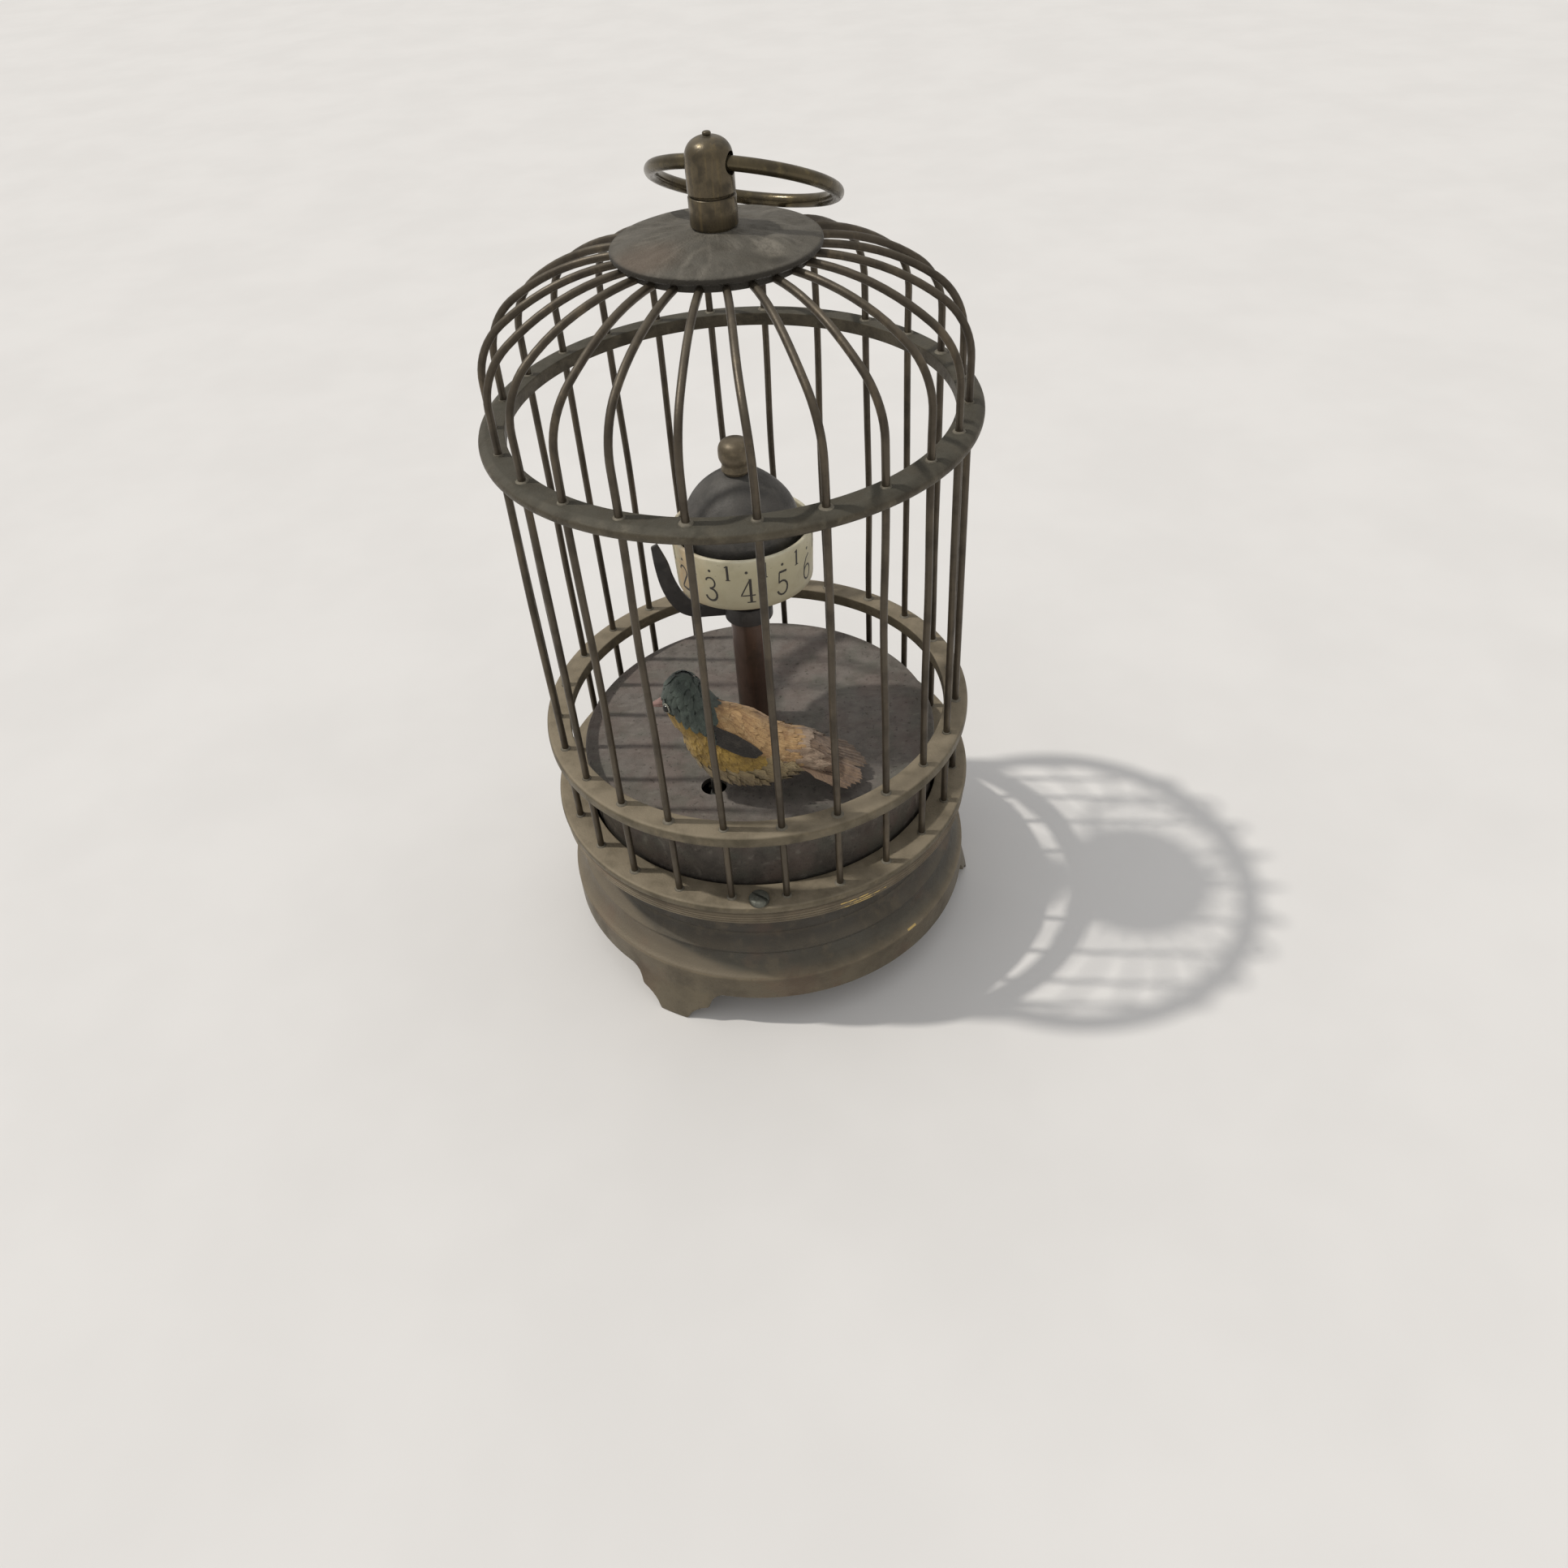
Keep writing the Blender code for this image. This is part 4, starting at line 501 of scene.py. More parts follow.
# Every finish on the clock
finishes = {
    # Cast brass, dipped dark and handled for years: olive brown, tan where it was rubbed.
    "cast_brass": patina(
        "dark_dipped_cast_brass", "#5f5645", "#453f36", "#7a6c55", "#857a66", mottle=9.0, dusting=0.45,
        metallic=0.4, rough=(0.45, 0.62), relief=0.035, marks=scratched_bead, blotches=0.45, rubs=0.25,
        # Bands: dark in the cove, patina and painted shade under the bead; pale at 16.1, the skirt's worn top
        # edge with a painted highlight.
        bands=[(0.0, "#6d6452"), (9.0, "#685f4d"), (15.3, "#645a48"), (16.1, "#7b6f5a"), (16.9, "#5b5344"),
               (17.8, "#4e4a40"), (21.5, "#48453d"), (23.0, "#433f38"), (32.5, "#413d36"), (34.0, "#675d4b"),
               (36.5, "#766a56"), (38.0, "#665c4b")]),
    # Rolled brass rings: a dusty flat top and rubbed places.
    "ring_brass": patina("dusty_rolled_brass", "#6b6250", "#4f4839", "#83765f", "#8e826d", mottle=7.0,
                         dusting=0.85, metallic=0.55),
    # The upper ring is greyer and darker, under a darker dust.
    "upper_ring_brass": patina("grey_dusty_rolled_brass", "#514a3c", "#3a342a", "#696252", "#4d4a40",
                               mottle=5.0, dusting=0.8, metallic=0.5),
    # Drawn brass wire gone brown, with fine drawing lines along it.
    "wire_brass": patina(
        "brown_drawn_wire", "#524a3e", "#3d362d", "#736652", "#6d6455", mottle=6.0, streak=(1.0, 1.0, 0.12),
        dusting=0.35, rough=(0.34, 0.48), relief=0.012),
    # Spun brass sheet, dented and grey with dust.
    "roof_brass": patina(
        "dented_spun_brass", "#585349", "#403c34", "#716a5e", "#635f56", mottle=4.0, dusting=0.6,
        metallic=0.45, rough=(0.44, 0.6), relief=0.06, scuffs=smeared_roof),
    # Turned brass with a satin brown skin and streaks down its side.
    "hub_brass": patina(
        "satin_turned_brass", "#5d5341", "#3d372c", "#82714f", "#686153", mottle=2.4,
        streak=(1.0, 1.0, 0.07), dusting=0.4, metallic=0.65, rough=(0.24, 0.38), relief=0.012),
    # Brass rod, polished by hands.
    "handle_brass": patina("worn_brass_rod", "#5a513e", "#433d31", "#7d7050", "#686050", mottle=5.0,
                           dusting=0.2, metallic=0.75, rough=(0.2, 0.34), relief=0.008),
    # Sheet metal painted dark grey: dull, with brown rubs.
    "dome_metal": patina("dull_dark_sheet", "#4e4b47", "#3a3937", "#605c56", "#5f5c57", mottle=4.5,
                         metallic=0.35, rough=(0.46, 0.6)),
    # Turned brass, duller than the hub.
    "knob_brass": patina("satin_knob_brass", "#6d6250", "#524939", "#85785f", "#7b715f", mottle=3.0,
                         dusting=0.3, metallic=0.55, rough=(0.42, 0.56), relief=0.012),
    # Blackened sheet metal.
    "pointer_metal": patina("blackened_sheet", "#3b3836", "#2c2a29", "#4c4844", "#4d4a46", mottle=4.0,
                            dusting=0.3, metallic=0.35, rough=(0.45, 0.6), relief=0.012),
    # Copper tube under dark red lacquer.
    "post_copper": patina(
        "lacquered_copper_tube", "#5a483e", "#41352e", "#6e4d3e", "#66564c", mottle=6.0,
        streak=(1.0, 1.0, 0.08), dusting=0.2, metallic=0.45, rough=(0.3, 0.42), relief=0.01),
    # The drum is thin brass sheet, brown grey, scuffed and speckled on its floor.
    "drum_brass": patina(
        "scuffed_drum_sheet", "#534d46", "#413c36", "#605a50", "#78716a", mottle=4.0, dusting=0.9,
        metallic=0.35, rough=(0.5, 0.66), relief=0.05, scuffs=scuffed_floor, rubs=0.3),
    # Movement brass, still yellow under its lacquer.
    "plate_brass": patina("lacquered_movement_brass", "#9a7f45", "#7d6636", "#b3975a", "#8c7c58",
                          mottle=7.0, dusting=0.25, metallic=0.85, rough=(0.28, 0.42), relief=0.008),
    # The plate under the floor hole is nearly black: painted shade seen down the hole.
    "plate_painted_shade_black": patina("movement_brass_painted_black_for_shade", "#2b2720", "#1d1b17", "#3d372a", "#39352c", mottle=5.0,
                         dusting=0.3, metallic=0.5, rough=(0.5, 0.62), relief=0.008),
    # Steels: dull screws, turned arbors and a blued spring.
    "screw_steel": patina("grey_green_steel", "#65665d", "#474841", "#83847a", "#6f6f65", mottle=1.2,
                          dusting=0.3, rough=(0.38, 0.55), relief=0.01),
    "arbor_steel": patina("cut_steel", "#85847f", "#64635f", "#9c9b95", "#807e78", mottle=3.0, dusting=0.15,
                          metallic=0.9, rough=(0.25, 0.4), relief=0.006),
    "spring_steel": patina("blued_spring_steel", "#3b4350", "#2b313b", "#56606e", "#4c5058", mottle=5.0,
                           dusting=0.1, metallic=0.85, rough=(0.28, 0.4), relief=0.005),
    # Soft solder, matt under dust.
    "solder": patina("dusty_solder", "#6c6659", "#524d43", "#87806f", "#7f7869", mottle=1.4, dusting=0.6,
                     metallic=0.4, rough=(0.5, 0.66)),
    "enamel": dial_enamel(),
    "ink": dial_ink(),
    "eye_glass": eye_glass(),
    "beak_horn": beak_horn(),
    "hood": plumage("green_black_hood", "#434a42", "#4b544b", "#333a35", "#606b60"),
    "wing": plumage("dark_wing", "#38332e", "#443d36", "#28241f", "#575046"),
    "breast": plumage("yellow_breast", "#937430", "#ab8b40", "#6b542a", "#c09d58"),
    "belly": plumage("pale_belly", "#8c7a56", "#a38f69", "#6c5c42", "#b9a883"),
    "back": plumage("tan_back", "#a37f52", "#bd9a6a", "#7b593a", "#cfb287"),
    "rump": plumage("pale_rump", "#98806a", "#a9937d", "#75604c", "#bfa98f"),
    "tail": plumage("rusty_tail", "#7b644f", "#8a725c", "#4a392d", "#a1896f", shaft=0.85),
    "tail_dark": plumage("brown_tail", "#6c5846", "#7b6753", "#3f3127", "#917d68", shaft=0.85),
    "eye_ring": plumage("pale_eye_ring", "#7f7c6d", "#9a9786", "#55564b", "#b0ad9c"),
}


def finish_piece(piece, finish, slot, body, *nodes):
    """Gives a piece its finish, the body it rides and the CAD nodes it stands for; slot is not used."""
    piece.data.materials.clear()
    piece.data.materials.append(finishes[finish])
    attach(piece, body)
    if nodes:
        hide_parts(*nodes)


# Base

# Skirt's underside beside a foot: mm along the skirt from the foot's middle, and height
FOOT_LINE = ((3.6, 0.0), (4.1, 1.2), (4.9, 2.3), (6.0, 3.3), (7.3, 4.1), (8.9, 4.7), (9.3, 5.9),
             (9.7, 6.9), (10.3, 7.8), (11.2, 8.6), (12.4, 9.1))


def skirt_height(azimuth):
    """Height of the skirt's underside, which drops to the table at the feet."""
    off = min(abs((azimuth - foot + 180.0) % 360.0 - 180.0) for foot in FOOT_AZIMUTHS)
    return read_off(math.radians(off) * SKIRT_R, FOOT_LINE)


def make_base():
    """Moulded casting: flange, cove and skirt turned as one, then cut to three feet and flared."""
    cove_x, cove_z, cove_r, step = 51.5, 28.2, 7.4, 0.22
    # The skirt is straight below straight_z, in rows down to its rounded edge, and flares below arch_z.
    straight_z, foot_rows, edge, arch_z, flare = 10.2, 9.8, 0.4, 9.1, 2.0
    corners = [(41.8, 38.0, 0.2), (48.3, 38.0, 0.5), (48.95, 37.4, 0.2)]
    for groove in (36.95, 36.2, 35.5):
        corners += [(48.98, groove + 0.2), (48.7, groove), (48.98, groove - 0.2)]
    corners += [(48.9, 34.9, 0.3), (48.2, 34.3, 0.2)]
    for i in range(25):
        turn = math.radians(128.0 + 94.0 * i / 24)
        depth = cove_r + (step if i in (9, 17) else 0.0)
        corners.append((cove_x + depth * math.cos(turn), cove_z + depth * math.sin(turn)))
    corners += [(46.75, 22.5, 0.25), (46.35, 21.8, 0.2), (46.9, 19.0, 0.9), (48.3, 17.0, 0.6),
                (SKIRT_R, 16.2, 0.35), (SKIRT_R, 13.5), (SKIRT_R, 11.8)]
    rows = [straight_z - foot_rows * i / 10 for i in range(11)]
    corners += [(SKIRT_R, z) for z in rows] + [(49.12, 0.14), (48.85, 0.0), (46.35, 0.0), (46.08, 0.14)]
    corners += [(46.0, z) for z in reversed(rows)]
    corners += [(46.0, 12.0), (36.0, 12.0, 0.3), (36.0, 14.0, 0.3), (41.8, 14.0)]
    base = turn_piece("base_casting_moulded", corners, 720)
    for vertex in base.data.vertices:
        x, y, z = vertex.co / MM
        radius = math.hypot(x, y)
        if radius < 45.5 or z > straight_z + 0.1:
            continue
        foot = skirt_height(math.degrees(math.atan2(x, -y)))
        height = z + foot
        if z >= edge:
            height = foot + edge + (z - edge) * (straight_z - foot - edge) / foot_rows
        scale = 1.0 + flare * max(arch_z - height, 0.0) / arch_z / radius
        vertex.co = mm(x * scale, y * scale, height)
    finish_piece(close_up(base, 28.0), "cast_brass", "aged_brass", "root", "base_casting")


def make_bottom_cover():
    """Cover plate with a hole for the key and two shallow grooves in its underside."""
    corners = [(4.0, 10.4, 0.15), (4.0, 11.7), (39.0, 11.7), (39.0, 10.4, 0.3), (37.4, 10.4), (37.1, 10.65),
               (36.2, 10.65), (35.9, 10.4), (9.0, 10.4), (8.7, 10.65), (7.6, 10.65), (7.3, 10.4)]
    cover = turn_piece("bottom_cover_plate", corners, 144)
    finish_piece(cover, "plate_brass", "aged_brass", "root", "bottom_cover")


def make_key():
    """Butterfly winding key: a turned hub with a socket, and two flat rounded wings."""
    hub = turn_piece("key_hub", [(0.0, 1.5), (2.7, 1.5, 0.5), (3.2, 2.3, 0.2), (3.2, 9.9, 0.25),
                                 (1.75, 9.9, 0.15), (1.75, 4.0), (0.0, 4.0)], 48)
    wing = [(-2.4, 3.1), (-4.6, 1.75), (-7.0, 1.55), (-8.9, 1.95), (-9.85, 3.4), (-9.9, 5.4), (-9.1, 7.2),
            (-7.2, 7.75), (-5.2, 7.5), (-2.4, 6.0)]
    blades = []
    for side in (1.0, -1.0):
        outline = [(x * side, -0.8, z) for x, z in curve_through(wing, 3)]
        blades.append(soften(cut_sheet("key_wing", outline, mm(0.0, 1.6, 0.0)), 0.25))
    key = join("winding_key_wings", [hub, *blades])
    finish_piece(key, "plate_brass", "bright_brass", "winding", "winding_key")


def soften(piece, width, segments=3):
    """Bevels a piece's sharp edges."""
    close_up(piece)
    tool = piece.modifiers.new("bevel", "BEVEL")
    tool.width = width * MM
    tool.segments = segments
    tool.limit_method = "ANGLE"
    tool.angle_limit = math.radians(40.0)
    bpy.ops.object.modifier_apply(modifier="bevel")
    return close_up(piece, 40.0)


def make_ring(node, corners, top, finish="ring_brass"):
    """A turned ring with a hole for each wire."""
    ring = turn_piece(f"{node}_band", corners, 240)
    holes = begin("wire_holes", bpy.ops.mesh.primitive_cylinder_add, vertices=20, radius=0.82 * MM,
                  depth=8.0 * MM, location=mm(*at_azimuth(WIRE_CIRCLE_R, WIRE_AZIMUTHS[0], top - 1.0)))
    edit(holes)
    others = len(WIRE_AZIMUTHS) - 1
    bpy.ops.mesh.spin(steps=others, angle=math.tau * others / (others + 1), dupli=True,
                      center=(0.0, 0.0, 0.0), axis=(0.0, 0.0, 1.0))
    cut_away(ring, close_up(holes))
    finish_piece(ring, finish, "aged_brass", "root", node)


def make_rings():
    """The three rings, from the base up."""
    make_ring("lower_ring", [(42.2, 38.3, 0.2), (42.2, 40.2, 0.3), (49.4, 40.2, 0.75), (49.4, 38.3, 0.6)],
              LOWER_RING_TOP)
    make_ring("middle_ring", [(43.4, 57.8, 0.3), (43.4, 60.7, 0.35), (48.8, 60.7, 0.9), (48.8, 57.8, 0.8)],
              MIDDLE_RING_TOP)
    make_ring("upper_ring", [(43.8, 129.4, 0.3), (43.8, 132.2, 0.3), (47.6, 132.2, 0.3), (48.15, 131.9, 0.2),
                             (49.1, 131.2, 0.5), (49.1, 130.0, 0.6), (48.3, 129.4, 0.3)], UPPER_RING_TOP,
              "upper_ring_brass")


def make_solder():
    """A low bead of solder and dust round each wire where it leaves a ring."""
    for ring, top in (("lower", LOWER_RING_TOP), ("middle", MIDDLE_RING_TOP), ("upper", UPPER_RING_TOP)):
        beads = []
        for azimuth in WIRE_AZIMUTHS:
            x, y, _ = at_azimuth(WIRE_CIRCLE_R, azimuth)
            wide, high = chance.uniform(1.05, 1.45), chance.uniform(0.18, 0.42)
            outline = [(0.7, top - 0.05), (wide, top - 0.05), (wide * 0.9, top + high * 0.45),
                       (0.95, top + high * 0.85), (0.7, top + high)]
            beads.append(turn_piece("solder_bead", outline, 12, (x, y), 50.0))
        finish_piece(join(f"{ring}_ring_solder", beads), "solder", "aged_brass", "root")


def make_screws():
    """Cheese-head screws that hold the lower ring, their slots turned at odds."""
    seat, top, circle_r = 40.5, 41.7, 47.0
    for i in range(3):
        x, y, _ = at_azimuth(circle_r, 120.0 * i)
        corners = [(0.0, seat - 4.9), (0.7, seat - 4.9), (0.7, seat - 0.28), (2.25, seat - 0.28, 0.1),
                   (2.25, seat + 0.9, 0.4), (1.3, top, 0.5), (0.0, top)]
        screw = turn_piece(f"lower_ring_screw_{i + 1}", corners, 48, (x, y))
        pick()
        bpy.ops.mesh.primitive_cube_add(size=MM, location=mm(x, y, top),
                                        rotation=(0.0, 0.0, math.radians(-35.0 + 50.0 * i)))
        bpy.context.object.scale = (6.0, 0.7, 1.3)
        cut_away(screw, named("screw_slot"))
        finish_piece(screw, "screw_steel", "steel", "root", f"flange_screw_{i + 1}")


def make_drum():
    """Wall and floor in one sheet, with a hole for the bird's wire."""
    rows = [(radius, DRUM_FLOOR_Z) for radius in (39.4, 37.5, *range(35, 7, -3), 5.6)]
    corners = [(40.2, 16.1), (41.4, 16.1), (41.4, 34.0), (41.4, 51.5, 0.9), *rows, (3.9, 51.5, 0.15),
               (3.9, 50.3), (40.2, 50.3)]
    drum = turn_piece("drum_with_floor", corners, 240)
    cut_away(drum, begin("bird_hole", bpy.ops.mesh.primitive_cylinder_add, vertices=40, radius=2.9 * MM,
                         depth=8.0 * MM, location=mm(BIRD_X, BIRD_Y, DRUM_FLOOR_Z)))
    finish_piece(drum, "drum_brass", "aged_brass", "root", "movement_drum")


# Cage

def make_wires():
    """One wire drawn up, bent over the shoulder and curved to the roof, then copied round."""
    spring_z, shoulder_r, crown_r = 140.86, 13.5, 44.66
    crown_y, crown_z, lean = 40.435, 151.78, math.radians(36.0)
    over_front = (1.0, 0.0, 0.0)
    shoulder = mm(0.0, -(WIRE_CIRCLE_R - shoulder_r), spring_z)
    crown = mm(0.0, -(crown_y - crown_r * math.sin(lean)), crown_z - crown_r * math.cos(lean))
    wire = spin_rod("cage_wire", mm(0.0, -WIRE_CIRCLE_R, WIRE_FOOT_Z), (0.0, 0.0, 0.0), 12, WIRE_R,
                    [(9, 54.0, shoulder, over_front), (10, 32.0, crown, over_front)],
                    spring_z - WIRE_FOOT_Z, 26)
    wires = copies(wire, [Matrix.Rotation(math.radians(azimuth), 4, "Z") for azimuth in WIRE_AZIMUTHS])
    for i, (piece, azimuth) in enumerate(zip(wires, WIRE_AZIMUTHS)):
        bend_wire(piece, azimuth)
        piece.name = piece.data.name = f"wire_{i + 1:02d}_bent"
        finish_piece(piece, "wire_brass", "aged_brass", "root", f"cage_wire_{i + 1:02d}")


def bend_wire(piece, azimuth):
    """Small hand bends between the rings and over the dome; none where a ring or the roof holds it."""
    side = Vector(at_azimuth(1.0, azimuth + 90.0))
    out = Vector(at_azimuth(1.0, azimuth))
    sway, second, lean, swing = (chance.uniform(-1.0, 1.0) for _ in range(4))
    run_over = 56.7
    for vertex in piece.data.vertices:
        height = vertex.co.z / MM
        radius = math.hypot(vertex.co.x, vertex.co.y) / MM
        if MIDDLE_RING_TOP < height < UPPER_RING_FOOT:
            share = (height - MIDDLE_RING_TOP) / (UPPER_RING_FOOT - MIDDLE_RING_TOP)
            hold = math.sin(math.pi * share) ** 2
            along = 0.5 * sway * hold + 0.3 * second * hold * math.sin(math.tau * share)
            vertex.co += (side * along + out * 0.2 * lean * hold) * MM
        elif height > UPPER_RING_TOP:
            share = min(max((height - UPPER_RING_TOP + WIRE_CIRCLE_R - radius) / run_over, 0.0), 1.0)
            vertex.co += side * (0.8 * swing * math.sin(math.pi * share) ** 2 * MM)


def make_roof():
    """Shallow spun cone, dented and never quite round, with a flange under it that holds the wires."""
    seat_r, rim_r, rim_z = 5.0, 19.3, 162.3
    rows = curve_through([(18.9, 162.65), (17.0, 163.1), (13.5, 163.75), (8.0, 164.5), (4.3, 164.92)], 7)
    corners = [(0.0, 161.35), (16.7, 161.35), (16.7, 159.7, 0.2), (17.5, 159.7, 0.2), (17.5, 161.35),
               (18.9, 161.35, 0.2), (19.2, 161.7), (19.2, 162.4, 0.3), *rows, (0.0, 164.95)]
    roof = turn_piece("roof_cone_dented", corners, 240)
    dents = [(10.5, -11.0, 5.5, -0.75), (11.5, -6.0, 3.2, 0.35), (2.5, -9.5, 4.0, -0.35),
             (-5.5, -14.0, 4.0, -0.3), (-12.0, -6.0, 5.0, -0.3), (-8.0, 8.0, 6.0, -0.4),
             (6.5, 12.0, 5.0, -0.35), (15.0, 4.0, 4.0, -0.3)]
    for vertex in roof.data.vertices:
        x, y, z = vertex.co / MM
        radius = math.hypot(x, y)
        if z < rim_z or radius < seat_r:
            continue
        hold = min((radius - seat_r) / 2.0, (rim_r - radius) / 1.5, 1.0)
        turn = math.atan2(x, y)
        drop = dent_depth(x, y, dents)
        drop += 0.07 * math.sin(7.0 * turn + 0.5 * radius) + 0.05 * math.sin(13.0 * turn - 0.9 * radius)
        vertex.co.z += drop * hold * MM
    finish_piece(close_up(roof, 40.0), "roof_brass", "aged_brass", "root", "roof_cap")


def make_hub():
    """Collar with hidden necks, which stand in the roof's top and in the cap."""
    corners = [(0.0, 164.8), (3.8, 164.8), (3.8, 165.2), (4.3, 165.25, 0.25), (4.3, 170.25, 0.3),
               (3.7, 170.3), (3.7, 170.7), (0.0, 170.7)]
    hub = turn_piece("hub_turned", corners, 96)
    finish_piece(hub, "hub_brass", "aged_brass", "root", "hub")


def handle_frame():
    """The ring's hole, its way down and its way across, as unit vectors."""
    hole = Vector((0.0, 0.0, 175.45))
    fall = Vector(at_azimuth(1.0, 160.0))
    across = Vector((0.0, 0.0, 1.0)).cross(fall)
    drop = math.radians(27.0)
    down = fall * math.cos(drop) - Vector((0.0, 0.0, 1.0)) * math.sin(drop)
    return hole, down, across


def make_cap():
    """Domed cap with a nipple and a cross hole that the ring passes through."""
    hole, _, across = handle_frame()
    dome = curve_through([(4.25, 176.0), (4.17, 176.9), (3.8, 177.9), (3.05, 178.8), (1.95, 179.4),
                          (0.85, 179.6)], 5)
    nipple = curve_through([(0.7, 179.7), (0.78, 179.95), (0.68, 180.2), (0.4, 180.33), (0.0, 180.35)], 3)
    corners = [(0.0, 170.55), (4.25, 170.55, 0.35), *dome, *nipple]
    cap = turn_piece("cap_domed", corners, 96)
    cut_away(cap, begin("cross_hole", bpy.ops.mesh.primitive_cylinder_add, vertices=32, radius=1.9 * MM,
                        depth=14.0 * MM, location=hole * MM, rotation=facing(across)))
    finish_piece(cap, "hub_brass", "aged_brass", "root", "hub_cap")


def make_handle():
    """Rod bent to a ring; its ends meet inside the cap."""
    hole, down, across = handle_frame()
    ring_r, half_cap = 17.2, 4.25
    sag = ring_r - math.sqrt(ring_r ** 2 - half_cap ** 2)
    middle = hole + down * (ring_r - sag / 2)
    rod = spin_rod("handle_rod", (middle - down * ring_r) * MM, facing(across), 24, 1.25,
                   [(150, 358.8, middle * MM, down.cross(across))])
    finish_piece(rod, "handle_brass", "aged_brass", "handle", "carry_ring")


# Dial

def make_post():
    """Copper tube from the drum's floor to the arbor's disc."""
    corners = [(2.75, 49.2), (3.5, 49.2), (3.5, 51.8), (4.2, 51.8, 0.2), (4.2, 93.2, 0.25), (2.75, 93.2)]
    post = turn_piece("post_tube", corners, 72)
    finish_piece(post, "post_copper", "copper_brown", "root", "dial_post")


def make_arbor():
    """Hollow arbor with the disc that carries the band and the dome."""
    corners = [(0.0, 33.8), (1.75, 33.8), (1.75, 30.7), (6.0, 30.7, 0.2), (6.0, 31.9, 0.2), (3.0, 32.3),
               (3.0, 34.6), (2.2, 35.0), (2.2, 93.5), (13.3, 93.5, 0.2), (13.3, 94.7, 0.2), (1.2, 94.7),
               (1.2, 120.9), (0.0, 120.9)]
    arbor = turn_piece("arbor_with_disc", corners, 72)
    finish_piece(arbor, "arbor_steel", "steel", "dial", "dial_arbor")


def band_radius(height):
    return 14.55 + 0.45 * (height - BAND_FOOT) / (BAND_TOP - BAND_FOOT)


def make_band():
    """Painted band that carries the figures."""
    corners = [(13.65, BAND_FOOT), (14.55, BAND_FOOT, 0.2), (15.0, BAND_TOP, 0.35), (14.1, BAND_TOP, 0.35)]
    band = turn_piece("dial_band_painted", corners, 180)
    finish_piece(band, "enamel", "cream_enamel", "dial", "dial_band")


def arc_points(cx, cy, rx, ry, start, end, steps):
    span = [math.radians(start + (end - start) * i / steps) for i in range(steps + 1)]
    return [(cx + rx * math.cos(turn), cy + ry * math.sin(turn)) for turn in span]


PRINT_R = 14.9
# Old-style figures on a field 0.62 wide and 1 high: strokes of (points, weight)
FIGURES = {
    "0": [(arc_points(0.31, 0.5, 0.25, 0.47, 0, 360, 18), 0.07)],
    "1": [([(0.33, 0.02), (0.33, 0.97)], 0.10), ([(0.33, 0.96), (0.16, 0.84)], 0.05),
          ([(0.16, 0.02), (0.50, 0.02)], 0.045)],
    "2": [([*arc_points(0.30, 0.73, 0.22, 0.23, 170, -30, 9), (0.10, 0.08)], 0.07),
          ([(0.08, 0.05), (0.54, 0.05)], 0.09), ([(0.54, 0.04), (0.55, 0.16)], 0.045)],
    "3": [([*arc_points(0.29, 0.75, 0.20, 0.21, 160, -80, 9), (0.24, 0.52)], 0.065),
          ([(0.24, 0.52), *arc_points(0.28, 0.27, 0.25, 0.25, 80, -165, 10)], 0.085)],
    "4": [([(0.43, 0.02), (0.43, 0.97)], 0.085), ([(0.43, 0.96), (0.04, 0.30), (0.61, 0.30)], 0.05),
          ([(0.26, 0.02), (0.60, 0.02)], 0.045)],
    "5": [([(0.16, 0.95), (0.50, 0.95)], 0.09), ([(0.16, 0.96), (0.13, 0.53)], 0.05),
          ([(0.13, 0.53), *arc_points(0.28, 0.31, 0.24, 0.28, 110, -160, 10)], 0.075)],
    "6": [(arc_points(0.31, 0.30, 0.24, 0.28, 0, 360, 14), 0.07),
          ([(0.07, 0.34), (0.10, 0.62), (0.24, 0.86), (0.46, 0.97)], 0.07)],
    "7": [([(0.08, 0.92), (0.56, 0.92)], 0.10), ([(0.56, 0.92), (0.34, 0.48), (0.26, 0.02)], 0.06),
          ([(0.08, 0.93), (0.07, 0.80)], 0.045)],
    "8": [(arc_points(0.31, 0.73, 0.19, 0.22, 0, 360, 12), 0.06),
          (arc_points(0.31, 0.27, 0.24, 0.25, 0, 360, 14), 0.075)],
    "9": [(arc_points(0.31, 0.70, 0.24, 0.27, 0, 360, 14), 0.07),
          ([(0.55, 0.66), (0.52, 0.38), (0.38, 0.14), (0.16, 0.03)], 0.07)],
}


def finer(points, step):
    """The same line with no two points further apart than step."""
    fine = [points[0]]
    for near, far in zip(points, points[1:]):
        count = math.ceil(math.dist(near, far) / step)
        for i in range(1, count + 1):
            fine.append(tuple(Vector(near).lerp(Vector(far), i / count)))
    return fine


def ink_stroke(points, weight):
    """A stroke of the pen: a line of points given a round section and pressed flat."""
    stroke = draw_line("stroke", [(x, 0.0, z) for x, z in finer(points, 0.4)])
    bpy.ops.object.mode_set(mode="OBJECT")
    bpy.ops.object.convert(target="CURVE")
    stroke.data.bevel_depth = weight * 0.5 * MM
    stroke.data.bevel_resolution = 1
    stroke.data.use_fill_caps = True
    bpy.ops.object.convert(target="MESH")
    stroke = bpy.context.object
    stroke.scale = (1.0, 0.05, 1.0)
    bpy.ops.object.transform_apply()
    return stroke


def print_on_band(name, strokes):
    """Lays flat strokes on the band: x runs round it and z up it."""
    piece = join(name, strokes)
    for vertex in piece.data.vertices:
        x, y, z = vertex.co / MM
        radius = band_radius(z) + 0.012 - y
        vertex.co = mm(*at_azimuth(radius, math.degrees(x / PRINT_R), z))
    return close_up(piece, 60.0)


